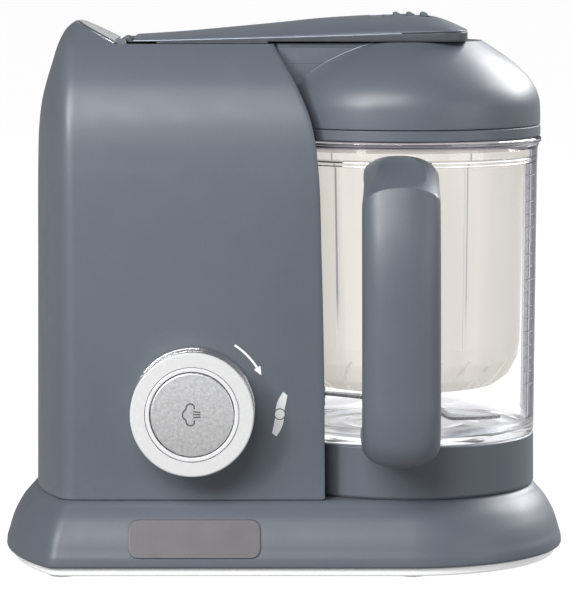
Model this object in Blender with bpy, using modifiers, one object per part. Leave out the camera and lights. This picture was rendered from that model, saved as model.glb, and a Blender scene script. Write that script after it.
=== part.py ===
"""Countertop baby food maker: a steamer and blender with a clear bowl beside the body.

The driving dimensions are in millimetres and each mesh is built in metres. +X is to the
right as seen from the front, -Y is the front and +Z is up. The feet stand on z = 0 and
x = 0 is the middle of the base.
"""

import math

import bmesh
import bpy
from mathutils import Matrix, Vector

MM = 0.001
TAU = 2 * math.pi
SHARP_ANGLE = math.radians(32.0)

# Bowl axis, which is also the centre of the pocket in the body and of the base's round end.
BOWL_X = 58.3
POCKET_R = 73.9

# Base.
BASE_HALF = 76.5
BASE_LEFT = -135.0
BASE_LEFT_R = 130.0
# (height, how far the outline stands in from the widest outline)
BASE_PROFILE = (
    (4.9, 0.9), (6.4, 0.0), (9.5, 0.3), (12.4, 1.2), (16.0, 2.2), (19.7, 3.5), (23.4, 5.3),
    (27.0, 7.4), (29.8, 9.6), (32.0, 11.6), (33.6, 13.0), (34.5, 14.4),
)

# Body: (height, half depth, x of the left end) from the bottom up to the crown of the arch.
BODY_PROFILE = (
    (34.8, 62.5, -120.0), (90.0, 62.3, -120.0), (150.0, 61.3, -120.0),
    (192.0, 59.8, -119.9), (205.0, 58.3, -119.6), (214.0, 56.5, -118.9), (222.0, 54.3, -117.7),
    (230.0, 51.5, -115.7), (236.0, 48.6, -113.9), (241.0, 45.4, -112.4), (245.0, 42.3, -111.2),
    (248.5, 39.0, -109.9), (252.0, 34.5, -108.2), (255.0, 29.5, -106.3), (257.5, 23.5, -103.6),
    (259.3, 17.0, -100.6), (260.4, 11.0, -97.5),
)
BODY_INSIDE = (
    (34.8, 59.9, -117.4), (130.0, 59.2, -117.4), (192.0, 57.2, -117.3), (214.0, 53.7, -116.2),
    (230.0, 48.4, -112.9), (238.0, 44.4, -110.7), (242.8, 40.6, -109.0),
)
BODY_LEFT_R = 115.0
BODY_CORNER = 9.0
DECK_Z = 248.5

# Lid hinge, across the body at the foot of the hump.
HINGE_X = -77.8
HINGE_Z = 248.4
BARREL_R = 2.8
PIN_R = 1.25

# Lid arm: (x, height of the crown, height of the seam between cover and base).
ARM_PROFILE = (
    (-72.0, 251.9, 250.75), (-50.0, 253.6, 251.1), (-25.0, 255.9, 251.7), (0.0, 258.3, 252.2),
    (17.0, 260.0, 252.6), (32.0, 260.9, 253.0), (46.0, 261.6, 253.4), (66.0, 261.6, 253.8),
    (73.0, 260.8, 254.0), (79.0, 259.0, 254.1), (84.0, 256.9, 254.2), (88.0, 255.0, 254.3),
)
ARM_HALF = 38.5
ARM_UNDER = 249.5

# Lid dome: (radius, height) on the outside, from the top down.
DOME_PROFILE = (
    (0.0, 249.2), (39.0, 249.2), (43.0, 246.4), (47.6, 243.4), (53.0, 239.3), (57.4, 235.4),
    (61.0, 231.0), (63.6, 226.0), (65.5, 220.0), (66.4, 213.5), (66.4, 208.7),
)
LID_BOTTOM = 203.0
SKIRT_TOP = 208.4
BLOCK_HALF = 35.0
BLOCK_R = 72.4
BLOCK_BOTTOM = 212.0

# Bowl.
BOWL_RIM_Z = 202.7
BOWL_RIM_R = 67.0
RING_R = 63.0
RING_BOTTOM = 34.8
RING_TOP = 59.5

# Handle: (y, height) of its side outline; the bowl end is trimmed to the bowl afterwards.
HANDLE_X = 53.9
HANDLE_WIDTH = 36.4

# Direction of the blade at rest.
BLADE_TURN = math.radians(150.0)

# Knob on the front of the body.
KNOB_X = -43.0
KNOB_Z = 77.5
KNOB_R = 28.6
KNOB_FRONT = -82.0

# Boiler under the arm.
BOILER_X = -47.0
BOILER_R = 22.5

# Middle of the latch bar in the arm, clear of the boiler's well.
LATCH_Y = 26.5

# Motor in the body.
MOTOR_X = -49.0
MOTOR_Y = 10.0
MOTOR_R = 24.0

# Colours: (red, green, blue, alpha), roughness, metallic.
SLATE = ((0.115, 0.125, 0.145, 1.0), 0.5, 0.0)
TRIM = ((0.42, 0.43, 0.45, 1.0), 0.35, 0.3)
PALE = ((0.62, 0.63, 0.65, 1.0), 0.35, 0.2)
WHITE = ((0.85, 0.85, 0.85, 1.0), 0.3, 0.0)
SILVER = ((0.55, 0.56, 0.57, 1.0), 0.3, 0.9)
STEEL = ((0.6, 0.6, 0.6, 1.0), 0.25, 1.0)
BRASS = ((0.7, 0.5, 0.2, 1.0), 0.3, 1.0)
BLACK = ((0.02, 0.02, 0.02, 1.0), 0.6, 0.0)
RUBBER = ((0.35, 0.35, 0.36, 1.0), 0.8, 0.0)
BOARD = ((0.03, 0.2, 0.08, 1.0), 0.5, 0.0)
CLEAR = ((0.85, 0.87, 0.9, 0.25), 0.05, 0.0)
CREAM = ((0.85, 0.83, 0.78, 0.7), 0.4, 0.0)
PLAQUE = ((0.32, 0.29, 0.31, 1.0), 0.4, 0.0)


# Scene and materials


def start_scene():
    """An empty scene with one collection for the parts and one for the cutters."""
    for obj in list(bpy.data.objects):
        bpy.data.objects.remove(obj, do_unlink=True)
    collections = []
    for name in ("baby_food_maker", "cutters"):
        collection = bpy.data.collections.new(name)
        bpy.context.scene.collection.children.link(collection)
        collections.append(collection)
    collections[1].hide_render = True
    return collections


PARTS, CUTTERS = start_scene()


def paint(obj, look):
    colour, roughness, metallic = look
    material = bpy.data.materials.new(obj.name)
    material.use_nodes = True
    shader = material.node_tree.nodes["Principled BSDF"]
    shader.inputs["Base Color"].default_value = colour
    shader.inputs["Alpha"].default_value = colour[3]
    shader.inputs["Roughness"].default_value = roughness
    shader.inputs["Metallic"].default_value = metallic
    obj.data.materials.append(material)


def place(name, mesh, look, where=None):
    """Adds a mesh as a part, or as a cutter when it has no look."""
    obj = bpy.data.objects.new(name, mesh)
    obj.matrix_world = where or Matrix.Identity(4)
    if look is None:
        CUTTERS.objects.link(obj)
        obj.hide_render = True
        obj.display_type = "WIRE"
    else:
        PARTS.objects.link(obj)
        paint(obj, look)
    return obj


# Solids


def tidy_mesh(mesh):
    """Welds points that coincide and turns every face outwards."""
    bm = bmesh.new()
    bm.from_mesh(mesh)
    bmesh.ops.remove_doubles(bm, verts=bm.verts, dist=0.000001)
    bmesh.ops.recalc_face_normals(bm, faces=bm.faces)
    bm.to_mesh(mesh)
    bm.free()


def loft(name, rings, look=None, turn=None):
    """A solid through rings of equally many points, closed by its first and last ring."""
    count = len(rings[0])
    points = [Vector(p) * MM for ring in rings for p in ring]
    faces = []
    for a in range(0, (len(rings) - 1) * count, count):
        for i in range(count):
            j = (i + 1) % count
            faces.append((a + i, a + j, a + count + j, a + count + i))
    faces.append(tuple(range(count)))
    faces.append(tuple(range((len(rings) - 1) * count, len(rings) * count)))
    mesh = bpy.data.meshes.new(name)
    mesh.from_pydata(points, [], faces)
    tidy_mesh(mesh)
    return place(name, mesh, look, turn)


def lathe(name, profile, look=None, at=(0.0, 0.0), steps=48, turn=None):
    """A profile of (radius, height) turned about a vertical axis. Its outer side runs downwards.

    A profile that starts and ends on the axis stays open, and any other closes on itself.
    """
    last = len(profile) - 1
    edges = [(i, i + 1) for i in range(last)]
    if profile[0][0] > 0:
        edges.append((last, 0))
    mesh = bpy.data.meshes.new(name)
    mesh.from_pydata([Vector((r, 0.0, z)) * MM for r, z in profile], edges, [])
    where = turn or Matrix.Translation(Vector((at[0], at[1], 0.0)) * MM)
    obj = place(name, mesh, look, where)
    screw = obj.modifiers.new("Turn", "SCREW")
    screw.steps = steps
    screw.render_steps = steps
    screw.use_merge_vertices = True
    screw.merge_threshold = 0.00001
    return obj


def facing_front(x, y, z):
    """Turns a shape built upright so that its +Z points to the front, and moves it to a place."""
    return Matrix.Translation(Vector((x, y, z)) * MM) @ Matrix.Rotation(math.pi / 2, 4, "X")


def along_x(x, y, z):
    """Turns a shape built upright so that its +Z points along +X, and moves it to a place."""
    return Matrix.Translation(Vector((x, y, z)) * MM) @ Matrix.Rotation(math.pi / 2, 4, "Y")


def along_y(x, y, z):
    """Turns a shape built upright so that its +Z points along +Y, and moves it to a place."""
    return Matrix.Translation(Vector((x, y, z)) * MM) @ Matrix.Rotation(-math.pi / 2, 4, "X")


def curve_object(name, loops, dimensions):
    """A curve of straight segments through each loop of points."""
    curve = bpy.data.curves.new(name, "CURVE")
    curve.dimensions = dimensions
    for loop in loops:
        spline = curve.splines.new("POLY")
        spline.points.add(len(loop) - 1)
        for point, place_of in zip(spline.points, loop):
            point.co = (*(Vector(place_of) * MM), 1.0)
    return bpy.data.objects.new(name, curve)


def prism(name, outline, low, high, look=None, along="Z"):
    """An outline pushed from low to high along an axis. The outline is in the other two axes."""
    return plate(name, [outline], low, high, look, along)


def plate(name, loops, low, high, look=None, along="Z"):
    """A flat outline, with any holes as further loops, pushed from low to high along an axis."""
    guide = curve_object(name + "_outline", [[(a, b, 0.0) for a, b in loop] for loop in loops], "2D")
    guide.data.fill_mode = "BOTH"
    guide.data.extrude = (high - low) / 2 * MM
    for spline in guide.data.splines:
        spline.use_cyclic_u = True
    middle = (low + high) / 2
    guide.matrix_world = {
        "Z": Matrix.Translation(Vector((0.0, 0.0, middle)) * MM),
        "Y": facing_front(0.0, middle, 0.0),
        "X": Matrix.Translation(Vector((middle, 0.0, 0.0)) * MM)
        @ Matrix.Rotation(math.pi / 2, 4, "Z")
        @ Matrix.Rotation(math.pi / 2, 4, "X"),
    }[along]
    CUTTERS.objects.link(guide)
    mesh = bpy.data.meshes.new_from_object(guide.evaluated_get(bpy.context.evaluated_depsgraph_get()))
    mesh.name = name
    where = guide.matrix_world.copy()
    bpy.data.objects.remove(guide, do_unlink=True)
    mesh.materials.clear()
    tidy_mesh(mesh)
    bm = bmesh.new()
    bm.from_mesh(mesh)
    bmesh.ops.dissolve_limit(bm, angle_limit=0.001, verts=bm.verts, edges=bm.edges)
    bm.to_mesh(mesh)
    bm.free()
    return place(name, mesh, look, where)


def box(name, low, high, look=None):
    size = Vector(high) - Vector(low)
    centre = (Vector(high) + Vector(low)) / 2
    bm = bmesh.new()
    bmesh.ops.create_cube(bm, size=MM)
    bmesh.ops.scale(bm, vec=size, verts=bm.verts)
    mesh = bpy.data.meshes.new(name)
    bm.to_mesh(mesh)
    bm.free()
    return place(name, mesh, look, Matrix.Translation(centre * MM))


def tube(name, r_out, r_in, low, high, look=None, at=(0.0, 0.0), steps=24, turn=None):
    """A ring of square section about a vertical axis."""
    return lathe(name, [(r_out, high), (r_out, low), (r_in, low), (r_in, high)], look, at, steps, turn)


def rod(name, r, low, high, look=None, at=(0.0, 0.0), steps=16, turn=None):
    """A round bar about a vertical axis, with its ends chamfered when it is a part."""
    bm = bmesh.new()
    bmesh.ops.create_cone(
        bm, cap_ends=True, segments=steps, radius1=r * MM, radius2=r * MM, depth=(high - low) * MM
    )
    bmesh.ops.translate(bm, vec=(0.0, 0.0, (low + high) / 2 * MM), verts=bm.verts)
    mesh = bpy.data.meshes.new(name)
    bm.to_mesh(mesh)
    bm.free()
    obj = place(name, mesh, look, turn or Matrix.Translation(Vector((at[0], at[1], 0.0)) * MM))
    if look is not None:
        soften(obj, min(0.4, r * 0.2), 1, 60)
    return obj


def disc_outline(x, y, r, steps=24):
    return [(x + r * math.cos(TAU * k / steps), y + r * math.sin(TAU * k / steps)) for k in range(steps)]


def rounded(outline, radius, steps=4):
    """An outline with each corner replaced by a curve that starts a radius before it."""
    found = []
    for i, corner in enumerate(outline):
        here = Vector(corner)
        before = Vector(outline[i - 1]) - here
        after = Vector(outline[(i + 1) % len(outline)]) - here
        start = here + before.normalized() * radius
        end = here + after.normalized() * radius
        found += bend(start, here, end, steps)
    return found


def wire(name, path, r, look, sides=2):
    """A round bar along a path of points, with flat ends."""
    obj = curve_object(name, [path], "3D")
    obj.data.bevel_depth = r * MM
    obj.data.bevel_resolution = sides
    obj.data.use_fill_caps = True
    PARTS.objects.link(obj)
    paint(obj, look)
    return obj


def coil(name, centre, r, wire_r, low, high, turns, look):
    """A coil spring along Y about a centre (x, z)."""
    steps = int(turns * 12)
    path = []
    for k in range(steps + 1):
        angle = TAU * turns * k / steps
        y = low + (high - low) * k / steps
        path.append((centre[0] + r * math.cos(angle), y, centre[1] + r * math.sin(angle)))
    return wire(name, path, wire_r, look, sides=0)


def change(obj, cutter, operation):
    modifier = obj.modifiers.new(cutter.name, "BOOLEAN")
    modifier.operation = operation
    modifier.solver = "EXACT"
    modifier.object = cutter
    return obj


def cut(obj, *cutters):
    for cutter in cutters:
        change(obj, cutter, "DIFFERENCE")
    return obj


def join(obj, *additions):
    for addition in additions:
        change(obj, addition, "UNION")
    return obj


def soften(obj, width, segments=2, angle=40):
    modifier = obj.modifiers.new("Edges", "BEVEL")
    modifier.width = width * MM
    modifier.segments = segments
    modifier.limit_method = "ANGLE"
    modifier.angle_limit = math.radians(angle)
    return obj


# Base


def base_ring(z, inset):
    """The base's outline at a height: a round right end, straight sides and a gently curved left end."""
    half = BASE_HALF - inset
    radius = BASE_LEFT_R - inset
    centre = BASE_LEFT + BASE_LEFT_R
    corner = 11.0
    ring = []
    for k in range(17):
        angle = -math.pi / 2 + math.pi * k / 16
        ring.append((BOWL_X + half * math.cos(angle), half * math.sin(angle), z))
    ring += left_end(centre, radius, half, corner, z, steps=8)
    return ring


def left_end(centre, radius, half, corner, z, steps):
    """Rear corner, left arc and front corner of an outline whose sides are at plus and minus half."""
    reach = half - corner
    swing = math.asin(reach / radius)
    arc = []
    for k in range(steps + 1):
        angle = swing - 2 * swing * k / steps
        arc.append((centre - radius * math.cos(angle), radius * math.sin(angle)))
    meet = centre - math.sqrt(radius * radius - half * half)
    rear = bend((meet + corner, half), (meet, half), arc[0])
    front = bend(arc[-1], (meet, -half), (meet + corner, -half))
    return [(x, y, z) for x, y in rear + arc[1:-1] + front]


def bend(start, middle, end, steps=4):
    """A curve from start to end that leaves towards the middle point and arrives from it."""
    points = []
    for k in range(steps + 1):
        t = k / steps
        a, b, c = (1 - t) ** 2, 2 * t * (1 - t), t * t
        points.append(tuple(a * s + b * m + c * e for s, m, e in zip(start, middle, end)))
    return points


def build_base():
    inside = [(31.9, 16.6), (27.0, 10.4), (19.7, 6.3), (12.4, 3.9), (4.9, 3.2)]
    rings = [base_ring(z, inset) for z, inset in inside]
    rings += [base_ring(z, inset) for z, inset in BASE_PROFILE]
    shell = loft("base_shell", rings, SLATE)
    cut(
        shell,
        rod("base_drive_hole", 11.0, 28.0, 40.0, at=(BOWL_X, 0.0)),
        rod("base_motor_hole", 16.0, 28.0, 40.0, at=(MOTOR_X, MOTOR_Y)),
        rod("base_cord_hole", 5.2, 60.0, 90.0, turn=along_y(-85.0, 0.0, 17.0)),
    )
    plate = loft("bottom_plate", [base_ring(0.8, 4.6), base_ring(1.6, 3.6), base_ring(4.5, 3.4)], PALE)
    foot_places = {
        "front_left": (-104.0, -64.0), "front_right": (60.0, -64.0),
        "rear_left": (-104.0, 64.0), "rear_right": (60.0, 64.0),
    }
    for corner, at in foot_places.items():
        cut(plate, rod("foot_hole_" + corner, 7.0, -2.0, 8.0, at=at, steps=24))
        rod("foot_" + corner, 6.7, 0.0, 4.5, RUBBER, at=at, steps=20)
    build_plaque()


def build_plaque():
    """A blank raised plaque that lies on the sloping front of the base."""
    heights = [10.0, 14.5, 19.0, 23.0, 27.0]
    outer = []
    inner = []
    for z in heights:
        y = -(BASE_HALF - base_inset(z))
        inner.append((y - 0.15, z))
        outer.append((y - 1.0, z - 0.2))
    outline = inner + outer[::-1]
    soften(prism("base_plaque", outline, -73.0, -11.0, PLAQUE, along="X"), 0.3, 1)


def base_inset(z):
    for (low, a), (high, b) in zip(BASE_PROFILE, BASE_PROFILE[1:]):
        if low <= z <= high:
            return a + (b - a) * (z - low) / (high - low)
    return BASE_PROFILE[-1][1]


# Body


def body_ring(z, half, left, radius, corner=BODY_CORNER):
    """The body's outline at a height: hollow right end, straight sides and curved left end."""
    corner = min(corner, half * 0.4)
    swing = math.asin(half / radius)
    ring = []
    for k in range(17):
        angle = swing - 2 * swing * k / 16
        ring.append((BOWL_X - radius * math.cos(angle), radius * math.sin(angle), z))
    front = ring[-1][0]
    rest = left_end(left + BODY_LEFT_R, BODY_LEFT_R, half, corner, z, steps=8)
    side = rest[-1][0]
    for k in (1, 2, 3):
        ring.append((front + (side - front) * k / 4, -half, z))
    ring += rest[::-1]
    for k in (3, 2, 1):
        ring.append((front + (side - front) * k / 4, half, z))
    return ring


def build_body():
    rings = [body_ring(z, half, left, POCKET_R + 2.6) for z, half, left in reversed(BODY_INSIDE)]
    rings += [body_ring(z, half, left, POCKET_R) for z, half, left in BODY_PROFILE]
    body = loft("body_shell", rings, SLATE)
    step = [(-81.2, DECK_Z), (30.0, DECK_Z), (30.0, 275.0), (-128.0, 275.0)]
    cut(
        body,
        prism("deck_cut", step, -80.0, 80.0, along="Y"),
        box("hinge_gap", (-81.2, -80.0, 245.0), (-74.4, 80.0, 252.0)),
        rod("boiler_well", 24.0, 238.0, 252.0, at=(BOILER_X, 0.0), steps=28),
        rod("knob_hole", 6.2, 50.0, 75.0, turn=facing_front(KNOB_X, 0.0, KNOB_Z)),
        rod("nozzle_hole", 4.0, -30.0, -10.0, turn=along_x(0.0, 0.0, 228.0)),
        rod("interlock_hole", 2.3, 238.0, 252.0, at=(-64.0, 27.0)),
        box("latch_slot", (-32.0, LATCH_Y - 3.2, 238.0), (-19.0, LATCH_Y + 3.2, 252.0)),
    )
    for side in (-1, 1):
        lug = hinge_lug("body_lug_" + ("front" if side < 0 else "rear"), side * 31.2, side * 36.8)
        join(body, lug)
    middle = hinge_lug("body_lug_middle", -8.0, 8.0)
    join(body, middle)
    cut(body, rod("pin_hole", PIN_R + 0.1, -50.0, 50.0, turn=along_y(HINGE_X, 0.0, HINGE_Z)))
    build_hinge_trim()
    rod("hinge_pin", PIN_R, -36.6, 36.6, STEEL, turn=along_y(HINGE_X, 0.0, HINGE_Z), steps=16)


def hinge_lug(name, low, high):
    """A barrel about the hinge axis on a foot that stands in the hinge gap."""
    r = BARREL_R
    outline = [(HINGE_X + r * math.cos(a), HINGE_Z + r * math.sin(a)) for a in
               [math.pi * k / 8 for k in range(9)]]
    outline += [(HINGE_X - r, 244.0), (HINGE_X + r, 244.0)]
    return prism(name, outline, min(low, high), max(low, high), along="Y")


def build_hinge_trim():
    """A thin pale plate on the slope between the hump and the hinge gap."""
    slope = math.atan2(275.0 - DECK_Z, -128.0 + 81.2)
    ahead = Vector((math.cos(slope), math.sin(slope)))
    out = Vector((-ahead.y, ahead.x)) * -1
    foot = Vector((-82.2, DECK_Z + 0.57))
    rings = []
    for distance, half in ((0.0, 36.0), (6.0, 32.0), (11.0, 27.5), (15.0, 21.5), (17.5, 15.5)):
        along = foot + ahead * distance
        low = along + out * 0.3
        high = along + out * 1.3
        rings.append([
            (low.x, -half, low.y), (low.x, half, low.y),
            (high.x, half - 0.7, high.y), (high.x, -half + 0.7, high.y),
        ])
    loft("hinge_trim", rings, TRIM)


# Lid


def arm_half(x):
    """Half width of the arm: full along most of it, with rounded corners at the right end."""
    start, end, least = 76.0, 88.0, 27.0
    if x <= start:
        return ARM_HALF
    t = (x - start) / (end - start)
    return least + (ARM_HALF - least) * math.sqrt(max(0.0, 1 - t * t))


def arm_section(x, crown, seam, inset, floor):
    """One cross-section of the arm's cover at x, from a flat bottom up to the rounded crown."""
    half = arm_half(x) - inset
    points = [(x, -half, floor), (x, half, floor)]
    for k in range(13):
        y = math.cos(math.pi * k / 12)
        rise = max(0.0, 1 - abs(y) ** 2.6) ** 0.62
        points.append((x, half * y, seam + (crown - seam) * rise))
    return points


def profile_between(x):
    """Crown and seam heights of the arm at x."""
    for (a, crown_a, seam_a), (b, crown_b, seam_b) in zip(ARM_PROFILE, ARM_PROFILE[1:]):
        if a <= x <= b:
            t = (x - a) / (b - a)
            return crown_a + (crown_b - crown_a) * t, seam_a + (seam_b - seam_a) * t
    return ARM_PROFILE[-1][1:]


def build_arm_cover():
    sections = []
    for x, crown, seam in ARM_PROFILE:
        bottom = seam + 0.25
        sections.append(arm_section(x, crown, bottom + 0.2, 0.0, bottom))
    cover = loft("arm_cover", sections, SLATE)
    hollow = []
    for x in (-20.0, 0.0, 17.0, 32.0, 46.0, 66.0, 73.0, 79.0, 85.0):
        crown, seam = profile_between(x)
        hollow.append(arm_section(x, crown - 2.0, seam - 1.0, 2.2, seam - 3.0))
    cut(
        cover,
        loft("arm_cover_hollow", hollow),
        box("slider_recess", (41.6, -20.2, 260.9), (73.4, 20.2, 270.0)),
        box("slider_slot", (49.4, 13.1, 250.0), (64.6, 18.9, 270.0)),
        box("latch_relief", (-31.0, LATCH_Y - 2.8, 248.0), (-17.0, LATCH_Y + 2.8, 253.2)),
    )


def arm_outline(inset):
    """The arm's plan outline."""
    stations = [-74.5, 76.0, 79.0, 82.0, 84.5, 86.5, 87.6, 88.0]
    near = [(min(x, 88.0 - inset), -(arm_half(x) - inset)) for x in stations]
    near[0] = (-74.5 + inset, near[0][1])
    return near + [(x, -y) for x, y in reversed(near)]


def build_arm_base():
    """A tray under the cover: its rim is the band along the arm's edge. Two barrels hold the pin."""
    tray = prism("arm_base", arm_outline(0.0), ARM_UNDER, 256.0, SLATE)
    above = [(x, seam) for x, _, seam in ARM_PROFILE]
    above = [(-80.0, 250.6)] + above + [(95.0, 254.4), (95.0, 270.0), (-80.0, 270.0)]
    hollow = [(-18.0, -36.3), (76.0, -36.3), (85.8, -26.0), (85.8, 26.0), (76.0, 36.3), (-18.0, 36.3)]
    cut(
        tray,
        prism("arm_top_cut", above, -60.0, 60.0, along="Y"),
        prism("arm_hollow", hollow, 251.1, 270.0),
        box("latch_window", (-31.0, LATCH_Y - 2.8, 240.0), (-17.0, LATCH_Y + 2.8, 258.0)),
    )
    for side in (-1, 1):
        ends = sorted((side * 8.4, side * 30.8))
        name = "lid_barrel_" + ("front" if side < 0 else "rear")
        join(tray, rod(name, BARREL_R, ends[0], ends[1], turn=along_y(HINGE_X, 0.0, HINGE_Z), steps=24))
        web = [(HINGE_X, 249.7), (-73.0, 249.7), (-73.0, 250.45), (HINGE_X, 250.5)]
        join(tray, prism(name + "_web", web, ends[0] + 0.5, ends[1] - 0.5, along="Y"))
    cut(tray, rod("barrel_hole", PIN_R + 0.1, -50.0, 50.0, turn=along_y(HINGE_X, 0.0, HINGE_Z), steps=16))
    build_arm_cover()


def block_outline(radius, half, right):
    """Plan of the bridge block: straight front and rear, with a left end that follows the pocket."""
    swing = math.asin(half / radius)
    outline = [(right, half)]
    for k in range(11):
        angle = swing - 2 * swing * k / 10
        outline.append((BOWL_X - radius * math.cos(angle), radius * math.sin(angle)))
    outline.append((right, -half))
    return outline


def build_lid():
    axis = (BOWL_X, 0.0)
    dome = lathe("lid_dome", DOME_PROFILE + ((0.0, 208.7),), SLATE, axis, steps=48)
    join(dome, prism("bridge_block", block_outline(BLOCK_R, BLOCK_HALF, 47.0), BLOCK_BOTTOM, 248.7))
    hollow = [(0.0, 246.6), (37.6, 246.6), (46.0, 240.9), (55.0, 233.6), (60.9, 225.5), (63.6, 213.5),
              (63.6, 206.0), (0.0, 206.0)]
    room = lathe("dome_hollow", hollow, None, axis, steps=48)
    join(room, prism("block_hollow", block_outline(BLOCK_R - 2.6, BLOCK_HALF - 2.6, 44.0), 214.6, 244.7))
    cut(
        dome,
        room,
        rod("steam_inlet", 4.5, -25.0, 0.0, turn=along_x(0.0, 0.0, 228.0)),
    )
    skirt = [(66.2, SKIRT_TOP), (66.5, 207.9), (66.5, 203.8), (65.9, LID_BOTTOM), (60.6, LID_BOTTOM),
             (60.6, SKIRT_TOP)]
    lathe("lid_skirt", skirt, SLATE, axis, steps=48)
    plate = [(0.0, 206.3), (60.2, 206.3), (60.2, 203.2), (56.0, 200.6), (0.0, 200.6)]
    vents = lathe("lid_inner_plate", plate, PALE, axis, steps=32)
    for k in range(6):
        x = BOWL_X + 30 * math.cos(TAU * (k + 0.25) / 6)
        y = 30 * math.sin(TAU * (k + 0.25) / 6)
        cut(vents, rod("vent_%d" % k, 5.0, 195.0, 210.0, at=(x, y), steps=10))
    seal = [(61.6, 202.7), (61.4, 201.2), (60.7, 200.6), (58.4, 200.6), (58.0, 201.4), (60.0, 202.7)]
    lathe("lid_seal", seal, RUBBER, axis, steps=36)
    plug = [(0.0, 249.2), (22.6, 249.2), (22.6, 248.8), (18.8, 248.5), (18.4, 246.2), (0.0, 246.2)]
    lathe("boiler_plug", plug, RUBBER, (BOILER_X, 0.0), steps=24)
    build_arm_base()
    build_slider()


def build_slider():
    """Pad with three grip ribs on the crown, and a latch bar inside that reaches back to the deck."""
    pad = prism("release_slider", rounded([(48.0, -19.6), (72.6, -19.6), (72.6, 19.6), (48.0, 19.6)], 4.0),
                261.25, 262.05, SLATE)
    ribs = []
    for k, x in enumerate((54.6, 61.2, 68.0)):
        outline = [(x - 1.6, 261.7), (x + 1.6, 261.7), (x + 1.1, 262.6), (x, 262.9), (x - 1.1, 262.6)]
        ribs.append(prism("grip_rib_%d" % k, outline, -14.0, 14.0, along="Y"))
    join(pad, *ribs)
    join(pad, box("slider_stem", (56.0, 13.6, 252.0), (64.0, 18.4, 261.6)))
    join(pad, box("latch_link", (55.0, 13.8, 251.6), (60.0, LATCH_Y + 2.0, 252.6)))
    join(pad, box("latch_bar", (-23.6, LATCH_Y - 2.4, 251.7), (58.0, LATCH_Y + 2.4, 252.4)))
    hook = [(-23.6, 251.9), (-19.9, 251.9), (-19.9, 245.0), (-21.4, 243.6), (-23.6, 243.6)]
    join(pad, prism("latch_nose", hook, LATCH_Y - 2.3, LATCH_Y + 2.3, along="Y"))


# Bowl, blade and basket


def build_bowl():
    axis = (BOWL_X, 0.0)
    jug = [
        (62.2, BOWL_RIM_Z), (66.4, BOWL_RIM_Z), (BOWL_RIM_R, 202.0), (BOWL_RIM_R, 200.6), (66.2, 200.0),
        (65.2, 197.4), (64.9, 190.0), (63.1, 62.0), (62.8, 60.0), (11.0, 60.0), (11.0, 52.0),
        (8.4, 52.0), (8.4, 66.0), (11.0, 66.0), (13.5, 62.8), (56.0, 62.8), (59.0, 64.2), (60.3, 68.0),
        (61.9, 186.5), (60.4, 187.4), (60.4, 188.6), (62.2, 189.6),
    ]
    lathe("bowl_jug", jug, CLEAR, axis, steps=44)
    ring = [
        (62.4, RING_TOP), (RING_R, 58.9), (RING_R, 36.0), (62.2, RING_BOTTOM), (59.8, RING_BOTTOM),
        (59.8, 56.4), (14.5, 56.4), (14.5, RING_TOP),
    ]
    lathe("bowl_ring", ring, SLATE, axis, steps=44)
    bush = [(8.1, 65.6), (8.1, 51.0), (3.2, 51.0), (3.2, 65.6)]
    lathe("blade_bush", bush, BRASS, axis, steps=16)
    build_handle()
    build_blade()
    build_basket()


def build_handle():
    """A loop in front of the bowl: a thick grip with an arm to the bowl at its top and its bottom."""
    outline = [
        (-50.0, 197.0), (-72.0, 196.4), (-88.0, 191.0), (-104.5, 180.5), (-107.6, 176.0), (-108.0, 168.0),
        (-108.0, 70.0), (-106.4, 61.0), (-101.5, 55.6), (-93.0, 54.0), (-50.0, 54.0),
        (-50.0, 76.0), (-80.0, 76.0), (-84.6, 79.0), (-86.0, 84.0), (-86.0, 162.0), (-84.0, 169.0),
        (-79.0, 172.0), (-50.0, 172.0),
    ]
    half = HANDLE_WIDTH / 2
    grip = prism("bowl_handle", outline, HANDLE_X - half, HANDLE_X + half, SLATE, along="X")
    soften(grip, 6.5, 3, 50)
    bowl_side = [(0.0, 200.0), (65.5, 200.0), (63.3, 62.0), (63.3, 50.0), (0.0, 50.0)]
    cut(grip, lathe("handle_trim", bowl_side, None, (BOWL_X, 0.0), steps=56))


def star(x, y, radius, depth, lobes, steps=36):
    """A wavy round outline."""
    outline = []
    for k in range(steps):
        angle = TAU * k / steps
        r = radius + depth * math.cos(lobes * angle)
        outline.append((x + r * math.cos(angle), y + r * math.sin(angle)))
    return outline


def build_blade():
    rod("blade_shaft", 3.1, 47.0, 78.0, STEEL, at=(BOWL_X, 0.0))
    hub = [(3.4, 79.0), (6.0, 79.0), (8.6, 76.4), (9.2, 72.7), (9.6, 67.0), (3.4, 67.0)]
    hub_top = lathe("blade_hub", hub, BLACK, (BOWL_X, 0.0), steps=20)
    upper = prism("upper_coupling", disc_outline(BOWL_X, 0.0, 13.0), 37.6, 50.4, BLACK)
    cut(
        upper,
        prism("socket", star(BOWL_X, 0.0, 9.0, 1.2, 6), 30.0, 46.6),
        rod("shaft_seat", 3.3, 40.0, 60.0, at=(BOWL_X, 0.0)),
    )
    blade = blade_sheet()
    turn = Matrix.Translation(Vector((BOWL_X, 0.0, 0.0)) * MM) @ Matrix.Rotation(BLADE_TURN, 4, "Z")
    slot = [[(-20, -6.4, z), (20, -6.4, z), (20, 6.4, z), (-20, 6.4, z)] for z in (69.8, 72.2)]
    cut(hub_top, loft("blade_slot", slot, turn=turn))
    cut(blade, rod("blade_bore", 3.3, 60.0, 80.0, at=(BOWL_X, 0.0)))


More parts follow.
